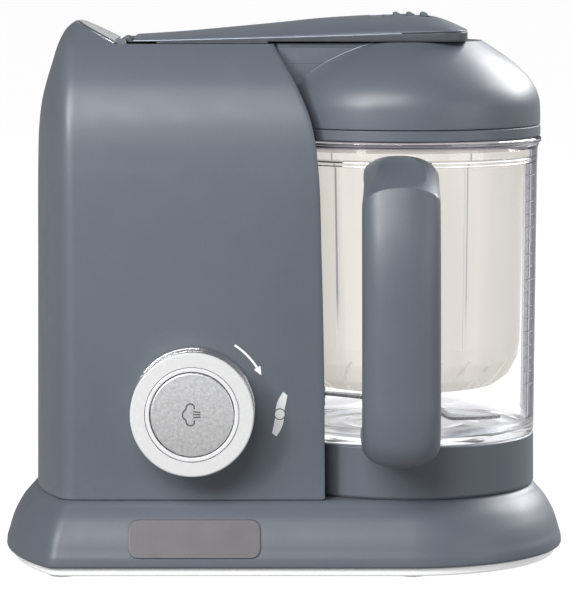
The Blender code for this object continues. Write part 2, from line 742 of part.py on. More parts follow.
def blade_sheet():
    """An S-shaped steel blade: two curved arms, one raised and one lowered at the tip."""
    rings = []
    for k in range(-9, 10):
        r = 5.2 * k
        sweep = BLADE_TURN + 0.01 * abs(r)
        tip = max(0.0, (abs(r) - 10.0) / 37.0)
        lift = 3.0 * tip * (1 if k > 0 else -1)
        width = 5.4 * (1 - 0.72 * tip ** 2)
        ahead = Vector((math.cos(sweep), math.sin(sweep)))
        side = Vector((-ahead.y, ahead.x))
        centre = Vector((BOWL_X, 0.0)) + ahead * r
        z = 71.0 + lift
        left = centre + side * width
        right = centre - side * width
        rings.append([(left.x, left.y, z - 0.8), (right.x, right.y, z - 0.8),
                      (right.x, right.y, z + 0.8), (left.x, left.y, z + 0.8)])
    return loft("blade", rings, STEEL)


def build_basket():
    profile = [
        (0.0, 83.2), (36.0, 83.2), (43.0, 84.7), (49.2, 89.2), (53.2, 96.6), (54.4, 104.0),
        (56.8, 187.0), (59.6, 194.5), (61.8, 194.5), (61.8, 190.2), (60.0, 189.2), (58.6, 186.5),
        (56.3, 104.0), (55.0, 96.0), (50.6, 87.8), (44.0, 83.0), (36.0, 81.5), (0.0, 81.5),
    ]
    basket = lathe("steam_basket", profile, CREAM, (BOWL_X, 0.0), steps=44)
    for k in range(12):
        angle = TAU * (k + 0.5) / 12
        turn = (
            Matrix.Translation(Vector((BOWL_X, 0.0, 0.0)) * MM)
            @ Matrix.Rotation(angle, 4, "Z")
        )
        outline = [(38.0, -2.0), (60.0, -1.2), (60.0, 1.6), (38.0, 0.4)]
        rings = [[(x, y, z) for x, y in outline] for z in (78.0, 98.0)]
        cut(basket, loft("basket_slot_%d" % k, rings, turn=turn))


# Knob


def build_knob():
    front = facing_front(KNOB_X, 0.0, KNOB_Z)
    bezel = [(28.9, 65.2), (29.5, 64.4), (29.5, 62.9), (24.5, 62.9), (24.5, 65.2)]
    lathe("knob_bezel", bezel, STEEL, steps=40, turn=front)
    ring = [
        (22.2, 82.0), (27.4, 82.0), (28.3, 81.5), (KNOB_R, 80.6), (KNOB_R, 66.6), (28.0, 65.6),
        (5.4, 65.6), (5.4, 69.0), (22.2, 69.0),
    ]
    lathe("knob_ring", ring, WHITE, steps=48, turn=front)
    collar = [(19.9, 82.0), (21.2, 82.3), (21.9, 81.8), (21.9, 69.3), (19.9, 69.3)]
    lathe("knob_collar", collar, STEEL, steps=36, turn=front)
    shaft = rod("knob_shaft", 5.1, 42.0, 68.6, BLACK, turn=front)
    join(shaft, box("knob_cam", (KNOB_X - 2.5, -52.0, KNOB_Z + 3.0), (KNOB_X + 2.5, -46.0, KNOB_Z + 15.0)))
    button = [
        (0.0, 82.1), (10.0, 82.0), (18.6, 81.5), (19.5, 80.8), (19.5, 73.0), (17.0, 73.0), (17.0, 78.2),
        (0.0, 78.2),
    ]
    lathe("steam_button", button, SILVER, steps=36, turn=front)
    coil("button_spring", (KNOB_X, KNOB_Z), 10.0, 0.7, -77.2, -70.0, 2.5, STEEL)
    coil("knob_spring", (KNOB_X, KNOB_Z), 7.6, 0.8, -57.8, -53.0, 2.0, STEEL)


# Inside the body


def build_boiler():
    cup = [(0.0, 152.0), (17.4, 152.0), (21.1, 158.6), (21.1, 240.6), (BOILER_R, 240.6),
           (BOILER_R, 158.0), (18.0, 150.5), (0.0, 150.5)]
    tank = lathe("boiler_tank", cup, STEEL, (BOILER_X, 0.0), steps=28)
    cut(tank, rod("steam_port", 2.2, -30.0, -20.0, turn=along_x(0.0, 0.0, 228.0)))
    gasket = [(23.7, 248.2), (23.7, 241.0), (20.3, 241.0), (20.3, 248.2)]
    lathe("boiler_gasket", gasket, RUBBER, (BOILER_X, 0.0), steps=28)
    ring = [(14.0 + 3.2 * math.cos(TAU * k / 8), 146.6 - 3.2 * math.sin(TAU * k / 8)) for k in range(8)]
    lathe("heating_element", ring, STEEL, (BOILER_X, 0.0), steps=20)
    rod("thermostat", 7.5, 141.0, 150.2, PALE, at=(BOILER_X, 0.0))
    nozzle = [(3.7, -15.0), (3.7, -22.3), (2.2, -22.3), (2.2, -15.0)]
    lathe("steam_nozzle", nozzle, BRASS, steps=16, turn=along_x(0.0, 0.0, 228.0))


def build_motor():
    at = (MOTOR_X, MOTOR_Y)
    tube("motor_stator", MOTOR_R, 16.0, 60.0, 118.0, STEEL, at)
    legs = [(-76.0, 34.9), (-73.0, 34.9), (-73.0, 54.0), (-25.0, 54.0), (-25.0, 34.9), (-22.0, 34.9),
            (-22.0, 57.0), (-76.0, 57.0)]
    bracket = prism("motor_bracket", legs, MOTOR_Y - 12.0, MOTOR_Y + 12.0, PALE, along="Y")
    cut(bracket, rod("bracket_hole", 6.0, 45.0, 65.0, at=at))
    rod("motor_shaft", 2.5, 9.0, 127.0, STEEL, at=at)
    tube("motor_armature", 15.0, 2.8, 62.0, 116.0, BRASS, at)
    tube("motor_pulley", 9.0, 2.8, 11.0, 22.0, BLACK, at)
    fan = prism("motor_fan", star(MOTOR_X, MOTOR_Y, 17.0, 3.5, 8), 119.0, 125.0, BLACK)
    cut(fan, rod("fan_bore", 2.8, 110.0, 130.0, at=at))


def build_drive():
    at = (BOWL_X, 0.0)
    rod("drive_shaft", 4.0, 8.0, 43.6, STEEL, at=at)
    tube("driven_pulley", 26.0, 4.3, 11.0, 22.0, BLACK, at)
    tube("drive_bearing", 10.7, 4.1, 24.0, 34.2, BRASS, at)
    coupling = prism("lower_coupling", star(BOWL_X, 0.0, 8.2, 1.2, 6), 36.0, 43.4, BLACK)
    cut(coupling, rod("coupling_bore", 4.3, 30.0, 50.0, at=at))
    build_belt()


def build_belt():
    """A flat belt round the two pulleys, as two outlines joined at the top and bottom."""
    start = Vector((MOTOR_X, MOTOR_Y))
    end = Vector((BOWL_X, 0.0))
    apart = end - start
    heading = math.atan2(apart.y, apart.x)
    lean = math.acos((26.0 - 9.0) / apart.length)
    loops = []
    for extra in (0.3, 2.1):
        loop = []
        for k in range(17):
            angle = heading - (math.pi - lean) + 2 * (math.pi - lean) * k / 16
            loop.append((end.x + (26.0 + extra) * math.cos(angle), end.y + (26.0 + extra) * math.sin(angle)))
        for k in range(9):
            angle = heading + (math.pi - lean) + 2 * lean * k / 8
            loop.append((start.x + (9.0 + extra) * math.cos(angle), start.y + (9.0 + extra) * math.sin(angle)))
        loops.append(loop)
    plate("drive_belt", loops, 12.5, 20.5, BLACK)


def build_electrics():
    board = box("control_board", (-98.0, -34.0, 60.0), (-96.4, 34.0, 132.0), BOARD)
    join(
        board,
        box("relay", (-96.6, -26.0, 70.0), (-84.0, -8.0, 86.0)),
        rod("capacitor", 6.0, -96.6, -82.0, turn=along_x(0.0, 16.0, 110.0)),
    )
    box("steam_switch", (-53.0, -41.4, 70.0), (-33.0, -31.0, 85.0), BLACK)
    box("blend_switch", (-30.0, -52.0, 84.0), (-20.0, -40.0, 104.0), BLACK)
    box("lid_switch", (-70.0, 21.0, 207.0), (-58.0, 33.0, 223.0), BLACK)
    rod("interlock_pin", 2.0, 223.4, 249.2, WHITE, at=(-64.0, 27.0), steps=16)


def build_cord():
    cord_z = 17.0
    relief = [(4.2, 90.0), (5.6, 81.0), (8.2, 78.2), (8.2, 77.0), (4.9, 77.0), (4.9, 64.0), (3.5, 64.0),
              (3.5, 90.0)]
    lathe("strain_relief", relief, BLACK, steps=20, turn=along_y(-85.0, 0.0, cord_z))
    path = [(-85.0, 62.0, cord_z), (-85.0, 91.5, cord_z), (-84.2, 97.0, 16.4), (-81.0, 101.2, 14.6),
            (-75.0, 103.4, 12.0), (-66.0, 104.0, 8.8), (-56.0, 103.0, 5.8), (-44.0, 100.4, 3.8),
            (-30.0, 97.6, 3.2), (-14.0, 96.0, 4.6), (2.0, 96.0, 6.6), (19.6, 96.0, 7.5)]
    wire("power_cord", path, 3.0, BLACK)
    body = [(20.0, 4.2), (26.0, 5.4), (34.0, 10.4), (42.0, 11.6), (55.0, 11.6), (55.0, 0.0)]
    rings = []
    for x, half in body[:-1]:
        rings.append([(x, 96.0 - half, 7.5 - half * 0.55), (x, 96.0 + half, 7.5 - half * 0.55),
                      (x, 96.0 + half, 7.5 + half * 0.55), (x, 96.0 - half, 7.5 + half * 0.55)])
    soften(loft("plug_body", rings, BLACK), 1.6, 2, 50)
    for name, y in (("plug_pin_front", 89.0), ("plug_pin_rear", 103.0)):
        rod(name, 2.0, 55.3, 74.0, STEEL, turn=along_x(0.0, y, 7.5), steps=14)


# Moving bodies hang on empties that stand on their joint axes.


def hang(name, at, children):
    pivot = bpy.data.objects.new(name, None)
    PARTS.objects.link(pivot)
    pivot.location = Vector(at) * MM
    for child in children:
        obj = bpy.data.objects[child]
        obj.parent = pivot
        obj.matrix_parent_inverse = Matrix.Translation(-Vector(at) * MM)
    return pivot


def hang_moving_bodies():
    lid = hang("lid_pivot", (HINGE_X, 0.0, HINGE_Z), (
        "lid_dome", "lid_skirt", "lid_inner_plate", "lid_seal", "boiler_plug",
        "arm_base", "arm_cover",
    ))
    slider = hang("slider_guide", (60.0, 0.0, 261.6), ("release_slider",))
    slider.parent = lid
    slider.matrix_parent_inverse = Matrix.Translation(-Vector((HINGE_X, 0.0, HINGE_Z)) * MM)
    hang("knob_axis", (KNOB_X, KNOB_FRONT, KNOB_Z), (
        "knob_ring", "knob_collar", "knob_shaft", "steam_button", "button_spring",
    ))
    hang("motor_axis", (MOTOR_X, MOTOR_Y, 60.0), ("motor_shaft", "motor_armature", "motor_pulley", "motor_fan"))
    hang("drive_axis", (BOWL_X, 0.0, 20.0), ("drive_shaft", "driven_pulley", "lower_coupling"))
    hang("bowl_axis", (BOWL_X, 0.0, RING_BOTTOM), ("bowl_jug", "bowl_ring", "bowl_handle", "blade_bush"))
    hang("blade_axis", (BOWL_X, 0.0, 60.0), ("blade", "blade_hub", "blade_shaft", "upper_coupling"))
    hang("basket_axis", (BOWL_X, 0.0, 80.0), ("steam_basket",))
    hang("interlock_axis", (-64.0, 27.0, 249.0), ("interlock_pin",))


def shade_round_pieces():
    for obj in bpy.data.objects:
        if obj.type == "MESH" and not obj.hide_render:
            obj.data.shade_smooth()
            obj.data.set_sharp_from_angle(angle=SHARP_ANGLE)


def main():
    build_base()
    build_body()
    build_lid()
    build_bowl()
    build_knob()
    build_boiler()
    build_motor()
    build_drive()
    build_electrics()
    build_cord()
    shade_round_pieces()
    hang_moving_bodies()


main()
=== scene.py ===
import math

import bmesh
import bpy
import numpy as np
from mathutils import Matrix, Vector


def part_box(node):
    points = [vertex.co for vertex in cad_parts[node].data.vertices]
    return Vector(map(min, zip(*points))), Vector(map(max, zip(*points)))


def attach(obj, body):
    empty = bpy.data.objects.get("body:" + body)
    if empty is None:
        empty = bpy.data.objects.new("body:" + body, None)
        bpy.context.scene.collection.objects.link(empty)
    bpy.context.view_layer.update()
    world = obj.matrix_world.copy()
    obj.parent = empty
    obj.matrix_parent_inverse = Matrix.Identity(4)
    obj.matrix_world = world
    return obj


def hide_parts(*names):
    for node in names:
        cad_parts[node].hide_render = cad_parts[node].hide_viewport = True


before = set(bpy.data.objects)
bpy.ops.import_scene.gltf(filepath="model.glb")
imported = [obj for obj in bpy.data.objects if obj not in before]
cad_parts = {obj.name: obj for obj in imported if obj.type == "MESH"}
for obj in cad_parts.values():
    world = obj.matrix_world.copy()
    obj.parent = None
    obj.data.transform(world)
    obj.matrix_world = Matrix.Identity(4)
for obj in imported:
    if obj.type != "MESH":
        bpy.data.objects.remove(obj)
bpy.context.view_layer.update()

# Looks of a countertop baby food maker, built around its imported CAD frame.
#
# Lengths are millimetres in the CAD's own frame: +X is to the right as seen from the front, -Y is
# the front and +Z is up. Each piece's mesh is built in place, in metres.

MM = 0.001
TAU = 2 * math.pi


def box_mm(node):
    """Lowest and highest corner of a CAD node in millimetres."""
    low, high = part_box(node)
    return low / MM, high / MM


def middle_mm(node):
    """Middle of a CAD node's box in millimetres."""
    return [(a + b) / 2 for a, b in zip(*box_mm(node))]


# Places taken from the frame.
BOWL_X = middle_mm("bowl_jug")[0]
BOWL_AXIS = (BOWL_X, 0.0)
KNOB_X, _, KNOB_Z = middle_mm("knob_ring")
BOILER_X = middle_mm("boiler_tank")[0]
HINGE_X, _, HINGE_Z = middle_mm("hinge_pin")
HANDLE_X = middle_mm("bowl_handle")[0]
HANDLE_HALF = HANDLE_X - box_mm("bowl_handle")[0].x
PLAQUE_LOW, PLAQUE_HIGH = box_mm("base_plaque")
PLATE_LOW, PLATE_HIGH = box_mm("bottom_plate")

# Base: its widest outline, and (height, how far the outline there stands in from it).
BASE_HALF = 76.5
BASE_LEFT = -135.0
BASE_LEFT_R = 130.0
BASE_CORNER = 4.0
BASE_PROFILE = (
    (6.4, 0.0), (9.5, 0.3), (12.4, 1.2), (16.0, 2.2), (19.7, 3.5), (23.4, 5.3),
    (27.0, 7.4), (29.8, 9.6), (32.0, 11.6), (33.6, 13.0), (34.5, 14.4),
)

# Body: (height, half depth, x of the left end), from the bottom up to the crown of the arch.
POCKET_R = 72.7
BODY_WALL = 2.6
BODY_PROFILE = (
    (34.8, 62.5, -120.0), (90.0, 62.3, -120.0), (150.0, 61.5, -120.0), (192.0, 60.4, -119.9),
    (205.0, 59.3, -119.6), (214.0, 57.7, -118.9), (222.0, 55.2, -117.7), (230.0, 51.7, -115.7),
    (236.0, 48.0, -113.9), (241.0, 44.4, -112.4), (245.0, 41.2, -111.2), (248.5, 38.1, -109.9),
    (252.0, 33.8, -108.2), (255.0, 29.0, -106.3), (257.5, 23.2, -103.6), (259.3, 16.8, -100.6),
    (260.4, 11.0, -97.5),
)
# The same for the room inside it.
BODY_INSIDE = (
    (34.8, 59.9, -117.4), (130.0, 59.2, -117.4), (192.0, 57.2, -117.3), (214.0, 53.7, -116.2),
    (230.0, 48.4, -112.9), (238.0, 44.4, -110.7), (242.8, 40.6, -109.0),
)
BODY_LEFT_R = 128.0
BODY_CORNER = 6.0
# The deck cuts the arch off under the lid arm. To its left a slope, by (x, z), leads up to the crown.
DECK_Z = 248.5
SLOPE_FOOT = (-81.2, DECK_Z)
SLOPE_TOP = (-128.0, 272.4)
# The latch's place along Y, the hinge's radii, and the height at which steam enters the lid.
LATCH_Y = 26.5
BARREL_R = 2.3
PIN_HOLE_R = 1.4
STEAM_Z = 228.0

# Lid arm: (x, height of the crown, height of the seam between cover and tray).
ARM_PROFILE = (
    (-72.0, 251.9, 250.1), (-50.0, 253.4, 250.5), (-25.0, 255.7, 251.15), (0.0, 258.1, 251.8),
    (17.0, 259.9, 252.3), (32.0, 260.9, 252.8), (46.0, 261.6, 253.3), (66.0, 261.6, 253.8),
    (73.0, 260.8, 254.0), (79.0, 259.0, 254.1), (84.0, 256.9, 254.2), (88.0, 255.0, 254.3),
)
ARM_HALF = 38.5
ARM_UNDER = 249.5
ARM_END = 88.0
# Places along its rounded right end.
ARM_TIP = (76.0, 78.0, 80.0, 82.0, 83.6, 85.0, 86.2, 87.0, 87.6, 87.9, ARM_END)

# Lid dome: (radius, height) from the edge of its flat top down to the groove above the skirt.
DOME_PROFILE = (
    (38.0, 249.2), (42.0, 246.6), (47.0, 243.3), (52.6, 239.3), (57.3, 235.2), (61.2, 230.8),
    (64.3, 225.8), (66.0, 220.6), (66.4, 215.0), (66.4, 209.2),
)
# Bridge block on its left: its half depth, and the radius of its left end.
BLOCK_HALF = 35.0
BLOCK_R = 71.3

# Blade, and the angles of the basket's ribs about the bowl's axis.
BLADE_Z = 73.6
RIB_ANGLES = (-125.8, -62.4, 62.4, 125.8)

# Handle: (y, z) on its outer side and on its inner side, station by station, top to bottom.
HANDLE_STATIONS = (
    (-50.0, 201.0, -50.0, 172.0), (-68.0, 201.0, -66.0, 172.0), (-83.0, 199.8, -76.0, 172.0),
    (-93.0, 196.6, -81.0, 170.6), (-98.2, 191.5, -84.0, 167.6), (-100.2, 184.5, -85.4, 163.6),
    (-102.9, 174.0, -86.0, 159.0), (-105.2, 164.0, -86.0, 154.0), (-106.9, 153.5, -86.0, 147.0),
    (-107.9, 142.0, -86.0, 138.0), (-108.2, 126.0, -86.0, 124.0), (-108.1, 108.0, -86.0, 108.0),
    (-107.8, 92.0, -86.0, 94.0), (-107.2, 74.0, -85.8, 84.0),
    (-104.6, 62.6, -84.0, 79.0), (-98.0, 55.8, -81.0, 76.8), (-88.0, 54.0, -76.0, 76.0),
    (-70.0, 54.0, -66.0, 76.0), (-50.0, 54.0, -50.0, 76.0),
)
# Handle top: a slope that rises away from the crease at its front, and is round across.
CREASE = (-100.1, 184.3)
TOP_SLOPE = 0.372
TOP_HIGH = 197.4
TOP_DROP = 14.0

# Looks, in linear colour.
PURE_WHITE = (1.0, 1.0, 1.0)
SLATE_COLOUR = (0.088, 0.101, 0.123)
CREAM_COLOUR = (0.82, 0.785, 0.735)
WHITE_COLOUR = (0.56, 0.56, 0.562)
SILVER_COLOUR = (0.80, 0.80, 0.81)
CHROME_COLOUR = (0.86, 0.86, 0.87)
INK_COLOUR = (0.86, 0.86, 0.87)
# The basket's painted shade lines beside its ribs, its painted glow, and the share of its tone that the
# lamps light.
RIB_SHADE_COLOUR = (0.34, 0.32, 0.38)
CREAM_PAINTED_GLOW = 1.75
CREAM_LIT = 0.10
# Painted glow on the clear jug's floor.
JUG_FLOOR_PAINTED_GLOW = 0.20
# Clear plastic's painted dark reflection lines towards its outline: (how far it turns from the eye, grey,
# blue cast).
GLASS_PAINTED_REFLECTIONS = (
    (0.0, 1.0, 0.0), (1.0, 0.50, 0.05), (0.62, 1.0, 0.0), (0.655, 0.90, 0.03), (0.67, 0.12, 0.03),
    (0.685, 0.16, 0.03), (0.697, 0.60, 0.04), (0.712, 0.05, 0.02), (0.80, 0.012, 0.006),
    (0.885, 0.02, 0.01), (0.92, 0.60, 0.04),
)

# Stage. Lights: (name, azimuth, elevation, distance in metres, size in metres, watts). Azimuth 0 is
# in front and 90 is on the right.
WORLD_GLOW = 0.25
FLOOR_GLOW = 0.45
LIGHTS = (
    ("key_light", -24.0, 33.0, 2.2, (1.7, 0.8), 51.5),
    ("side_light", -38.0, 20.0, 1.4, (0.22, 0.35), 8.0),
    ("rim_light", 129.0, 31.0, 2.2, (1.6, 1.1), 86.0),
    ("fill_light", 55.0, 8.0, 2.5, (1.5, 1.0), 11.5),
)
# The camera stands level in front of the object, and its lens is shifted down to frame it.
CAMERA_PLACE = (0.0, -1.678, 0.300)
CAMERA_LENS = 206.2
CAMERA_SHIFT = (0.0017, -0.6067)


# Node materials


class Graph:
    """A node tree of a material or the world, with short calls for adding and joining nodes."""

    def __init__(self, owner, output="ShaderNodeOutputMaterial", place="Object"):
        owner.use_nodes = True
        self.owner = owner
        self.tree = owner.node_tree
        self.tree.nodes.clear()
        self.output = self.tree.nodes.new(output)
        self.place = self.add("ShaderNodeTexCoord").outputs[place]

    def add(self, kind, settings=None, **inputs):
        node = self.tree.nodes.new(kind)
        for key, value in (settings or {}).items():
            setattr(node, key, value)
        for key, value in inputs.items():
            self.feed(node.inputs[key.replace("_", " ")], value)
        return node

    def feed(self, socket, value):
        """Gives a socket a plain value, or joins it to another socket or a node's first output."""
        if isinstance(value, bpy.types.Node):
            value = value.outputs[0]
        if isinstance(value, bpy.types.NodeSocket):
            self.tree.links.new(value, socket)
        elif isinstance(value, tuple) and len(value) == 3 and socket.type == "RGBA":
            socket.default_value = (*value, 1.0)
        else:
            socket.default_value = value

    def put(self, kind, *values, output=0, **settings):
        """One output of a new node whose inputs are given in order."""
        node = self.add(kind, settings)
        for socket, value in zip(node.inputs, values):
            self.feed(socket, value)
        return node.outputs[output]

    def noise(self, scale, detail=2.0, stretch=None):
        """A noise value from 0 to 1. Its scale is in cells per metre."""
        place = self.place
        if stretch:
            place = self.add("ShaderNodeMapping", Vector=place, Scale=stretch)
        return self.add("ShaderNodeTexNoise", Vector=place, Scale=scale, Detail=detail).outputs[0]

    def spread(self, value, low, high, start=0.3, end=0.7):
        """A value between start and end brought to low and high."""
        return self.put("ShaderNodeMapRange", value, start, end, low, high)

    def mix_colour(self, factor, first, second):
        node = self.add("ShaderNodeMix", {"data_type": "RGBA"})
        for socket, value in ((0, factor), (6, first), (7, second)):
            self.feed(node.inputs[socket], value)
        return node.outputs[2]

    def mix_shader(self, factor, first, second):
        return self.put("ShaderNodeMixShader", factor, first, second)

    def ramp(self, value, stops):
        """A colour read from (place, grey, blue cast) stops."""
        node = self.add("ShaderNodeValToRGB", Fac=value)
        ramp = node.color_ramp
        for k, (place, grey, cast) in enumerate(stops):
            stop = ramp.elements[k] if k < 2 else ramp.elements.new(place)
            stop.position = place
            stop.color = (grey, grey, min(1.0, grey + cast), 1.0)
        return node.outputs[0]

    def sum(self, operation, first, second=0.0):
        return self.put("ShaderNodeMath", first, second, operation=operation)

    def product(self, *values):
        result = values[0]
        for value in values[1:]:
            result = self.sum("MULTIPLY", result, value)
        return result

    def along(self, place, way):
        """How far a place lies along a direction."""
        return self.put("ShaderNodeVectorMath", place, way, output="Value", operation="DOT_PRODUCT")

    def height(self):
        return self.add("ShaderNodeSeparateXYZ", Vector=self.place).outputs["Z"]

    def grazing(self):
        """0 where the surface faces the eye, 1 where it is seen edge on."""
        return self.add("ShaderNodeLayerWeight", Blend=0.5).outputs["Facing"]

    def seen(self):
        """1 for rays from the eye, also through clear plastic, and 0 for rays that light or mirror."""
        rays = self.add("ShaderNodeLightPath").outputs
        return self.sum("MAXIMUM", rays["Is Camera Ray"], rays["Is Transmission Ray"])

    def seam(self, tone, place, outward, share, colour):
        """A tone with a fine upright line of painted shade, in another colour, on the side that faces
        outward.
        """
        across = self.along(place, (-outward[1], outward[0], 0.0))
        ahead = self.along(place, (*outward, 0.0))
        gap = self.sum("ABSOLUTE", self.sum("ADD", across, -0.9 * MM))
        line = self.spread(gap, 1.0, 0.0, 0.25 * MM, 0.55 * MM)
        side = self.spread(ahead, 0.0, 1.0, 0.0, 1.0 * MM)
        return self.mix_colour(self.product(line, side, share), tone, colour)

    def edges(self):
        """1 along outer edges, 0 on flats and in hollows."""
        pointy = self.add("ShaderNodeNewGeometry").outputs["Pointiness"]
        return self.spread(pointy, 0.0, 1.0, 0.515, 0.60)

    def bump(self, height, distance, strength=1.0, edge=0.0):
        """A normal from a height in 0 to 1 over a distance in millimetres, on softly rounded edges."""
        node = self.add("ShaderNodeBump", Height=height, Distance=distance * MM, Strength=strength)
        if edge:
            bevel = self.add("ShaderNodeBevel", {"samples": 4}, Radius=edge * MM)
            self.feed(node.inputs["Normal"], bevel)
        return node.outputs[0]

    def finish(self, shader):
        self.feed(self.output.inputs["Surface"], shader)
        return self.owner


def paint(name):
    return Graph(bpy.data.materials.new(name))


def scaled(colour, factor):
    return tuple(min(1.0, channel * factor) for channel in colour)


def moulded(name, colour, rough, grain=1500.0, depth=0.02, drift=0.06, wear=0.12, edge=0.0, coat=0.0,
            glow=0.0):
    """Plastic with a fine satin grain, a slow drift in tone, and edges rubbed a little lighter. Glow,
    where given, is a painted glow in its own tone.
    """
    g = paint(name)
    tone = g.mix_colour(g.noise(14.0, 3.0), scaled(colour, 1 - drift), scaled(colour, 1 + drift))
    speck = g.spread(g.noise(grain * 0.7, 1.0), 0.0, 0.35, 0.45, 0.75)
    tone = g.mix_colour(speck, tone, scaled(colour, 1.16))
    rubbed = g.product(g.edges(), g.spread(g.noise(160.0, 3.0), 0.2 * wear, 2.2 * wear))
    tone = g.mix_colour(rubbed, tone, scaled(colour, 2.2))
    shine = g.spread(g.noise(90.0, 4.0), rough - 0.035, rough + 0.035)
    normal = g.bump(g.noise(grain, 2.0), depth, 0.6, edge)
    shader = g.add(
        "ShaderNodeBsdfPrincipled", Base_Color=tone, Roughness=shine, Normal=normal, IOR=1.5,
        Coat_Weight=coat, Coat_Roughness=0.12, Emission_Color=tone, Emission_Strength=glow,
    )
    return g.finish(shader)


def metal(name, colour, rough, grain=1800.0, depth=0.01, stretch=None, drift=0.05, blotch=0.25,
          shade_rise=None):
    """Metal with a fine grain, which stretch turns into brushing. Given a rise, it darkens between
    heights with painted shade, darkest at the lower.
    """
    g = paint(name)
    fine = g.noise(grain, 3.0, stretch)
    tone = g.mix_colour(fine, scaled(colour, 1 - drift), scaled(colour, 1 + drift))
    tone = g.mix_colour(g.spread(g.noise(40.0), 0.0, blotch), tone, scaled(colour, 0.85))
    # Painted shade: darker towards the bottom.
    if shade_rise:
        low, high, least = shade_rise
        share = g.spread(g.height(), 0.0, 1.0, low * MM, high * MM)
        tone = g.mix_colour(share, scaled(colour, least), tone)
    shine = g.spread(g.noise(grain * 0.3, 2.0, stretch), rough - 0.05, rough + 0.06)
    shader = g.add(
        "ShaderNodeBsdfPrincipled", Base_Color=tone, Roughness=shine, Metallic=1.0,
        Normal=g.bump(fine, depth, 0.5),
    )
    return g.finish(shader)


def clear_plastic(name, colour, rough=0.015):
    """Clear moulded plastic. Painted dark reflection lines darken it towards its outline, painted shade
    darkens its rim, and it darkens in streaks at its foot, where a painted glow lightens its floor
    between them.
    """
    g = paint(name)
    shine = g.spread(g.noise(60.0, 3.0), rough, rough + 0.02)
    height = g.height()
    foot = g.spread(height, 1.0, 0.0, 66.0 * MM, 68.5 * MM)
    # Painted glow on the jug's floor, from 62 mm up to the streaks' band, off the streaks.
    above = g.spread(height, 0.0, JUG_FLOOR_PAINTED_GLOW, 61.4 * MM, 62.0 * MM)
    streaks = g.product(foot, g.spread(g.noise(70.0, 4.0, (0.35, 0.35, 3.0)), 0.0, 1.0, 0.42, 0.60))
    # Painted reflection: dark lines as the surface turns away from the eye.
    tone = g.mix_colour(streaks, g.ramp(g.grazing(), GLASS_PAINTED_REFLECTIONS), (0.78, 0.78, 0.82))
    # Painted shade: the rim above 199 mm is tinted a darker grey-blue.
    tone = g.mix_colour(g.spread(height, 0.0, 0.85, 198.6 * MM, 199.4 * MM), tone, (0.66, 0.66, 0.73))
    glass = g.add(
        "ShaderNodeBsdfPrincipled", Base_Color=tone, Roughness=shine, IOR=1.42,
        Transmission_Weight=1.0, Normal=g.bump(g.noise(30.0, 2.0), 0.02, 0.4), Emission_Color=PURE_WHITE,
        Emission_Strength=g.product(g.sum("SUBTRACT", foot, streaks), above),
    )
    through = g.add("ShaderNodeBsdfTransparent", Color=scaled(colour, 0.98))
    shadow = g.add("ShaderNodeLightPath").outputs["Is Shadow Ray"]
    return g.finish(g.mix_shader(shadow, glass, through))


def milky_plastic(name, colour, rough=0.34):
    """Thin cream plastic with a painted glow in place of the light behind it, painted shade towards its
    outline, and a line of painted shade beside each rib.
    """
    g = paint(name)
    bands = g.noise(55.0, 3.0, (1.0, 1.0, 0.03))
    tone = g.mix_colour(g.spread(bands, 0.0, 1.0), scaled(colour, 0.93), scaled(colour, 1.05))
    axis = (BOWL_X * MM, 0.0, 0.0)
    place = g.put("ShaderNodeVectorMath", g.place, axis, operation="SUBTRACT")
    # Painted shade lines beside the ribs, fading in between 112 and 130 mm up.
    high = g.spread(g.height(), 0.0, 1.0, 112.0 * MM, 130.0 * MM)
    for angle in RIB_ANGLES:
        turn = math.radians(angle)
        tone = g.seam(tone, place, (math.cos(turn), math.sin(turn)), high, RIB_SHADE_COLOUR)
    # Painted shade: darker towards the outline.
    tone = g.mix_colour(g.spread(g.grazing(), 0.0, 1.0, 0.12, 0.75), tone, scaled(colour, 0.72))
    lit = g.mix_colour(CREAM_LIT, (0.0, 0.0, 0.0), tone)
    # Painted glow: the tone is emitted, in place of the light shining through from behind.
    skin = g.add(
        "ShaderNodeBsdfPrincipled", Base_Color=lit, Roughness=rough, IOR=1.49,
        Normal=g.bump(g.noise(900.0, 2.0), 0.015, 0.4), Emission_Color=tone, Emission_Strength=CREAM_PAINTED_GLOW,
    )
    glow = g.add("ShaderNodeBsdfTranslucent", Color=lit)
    open_part = g.add("ShaderNodeBsdfTransparent", Color=tone)
    return g.finish(g.mix_shader(0.18, g.mix_shader(0.5, skin, glow), open_part))


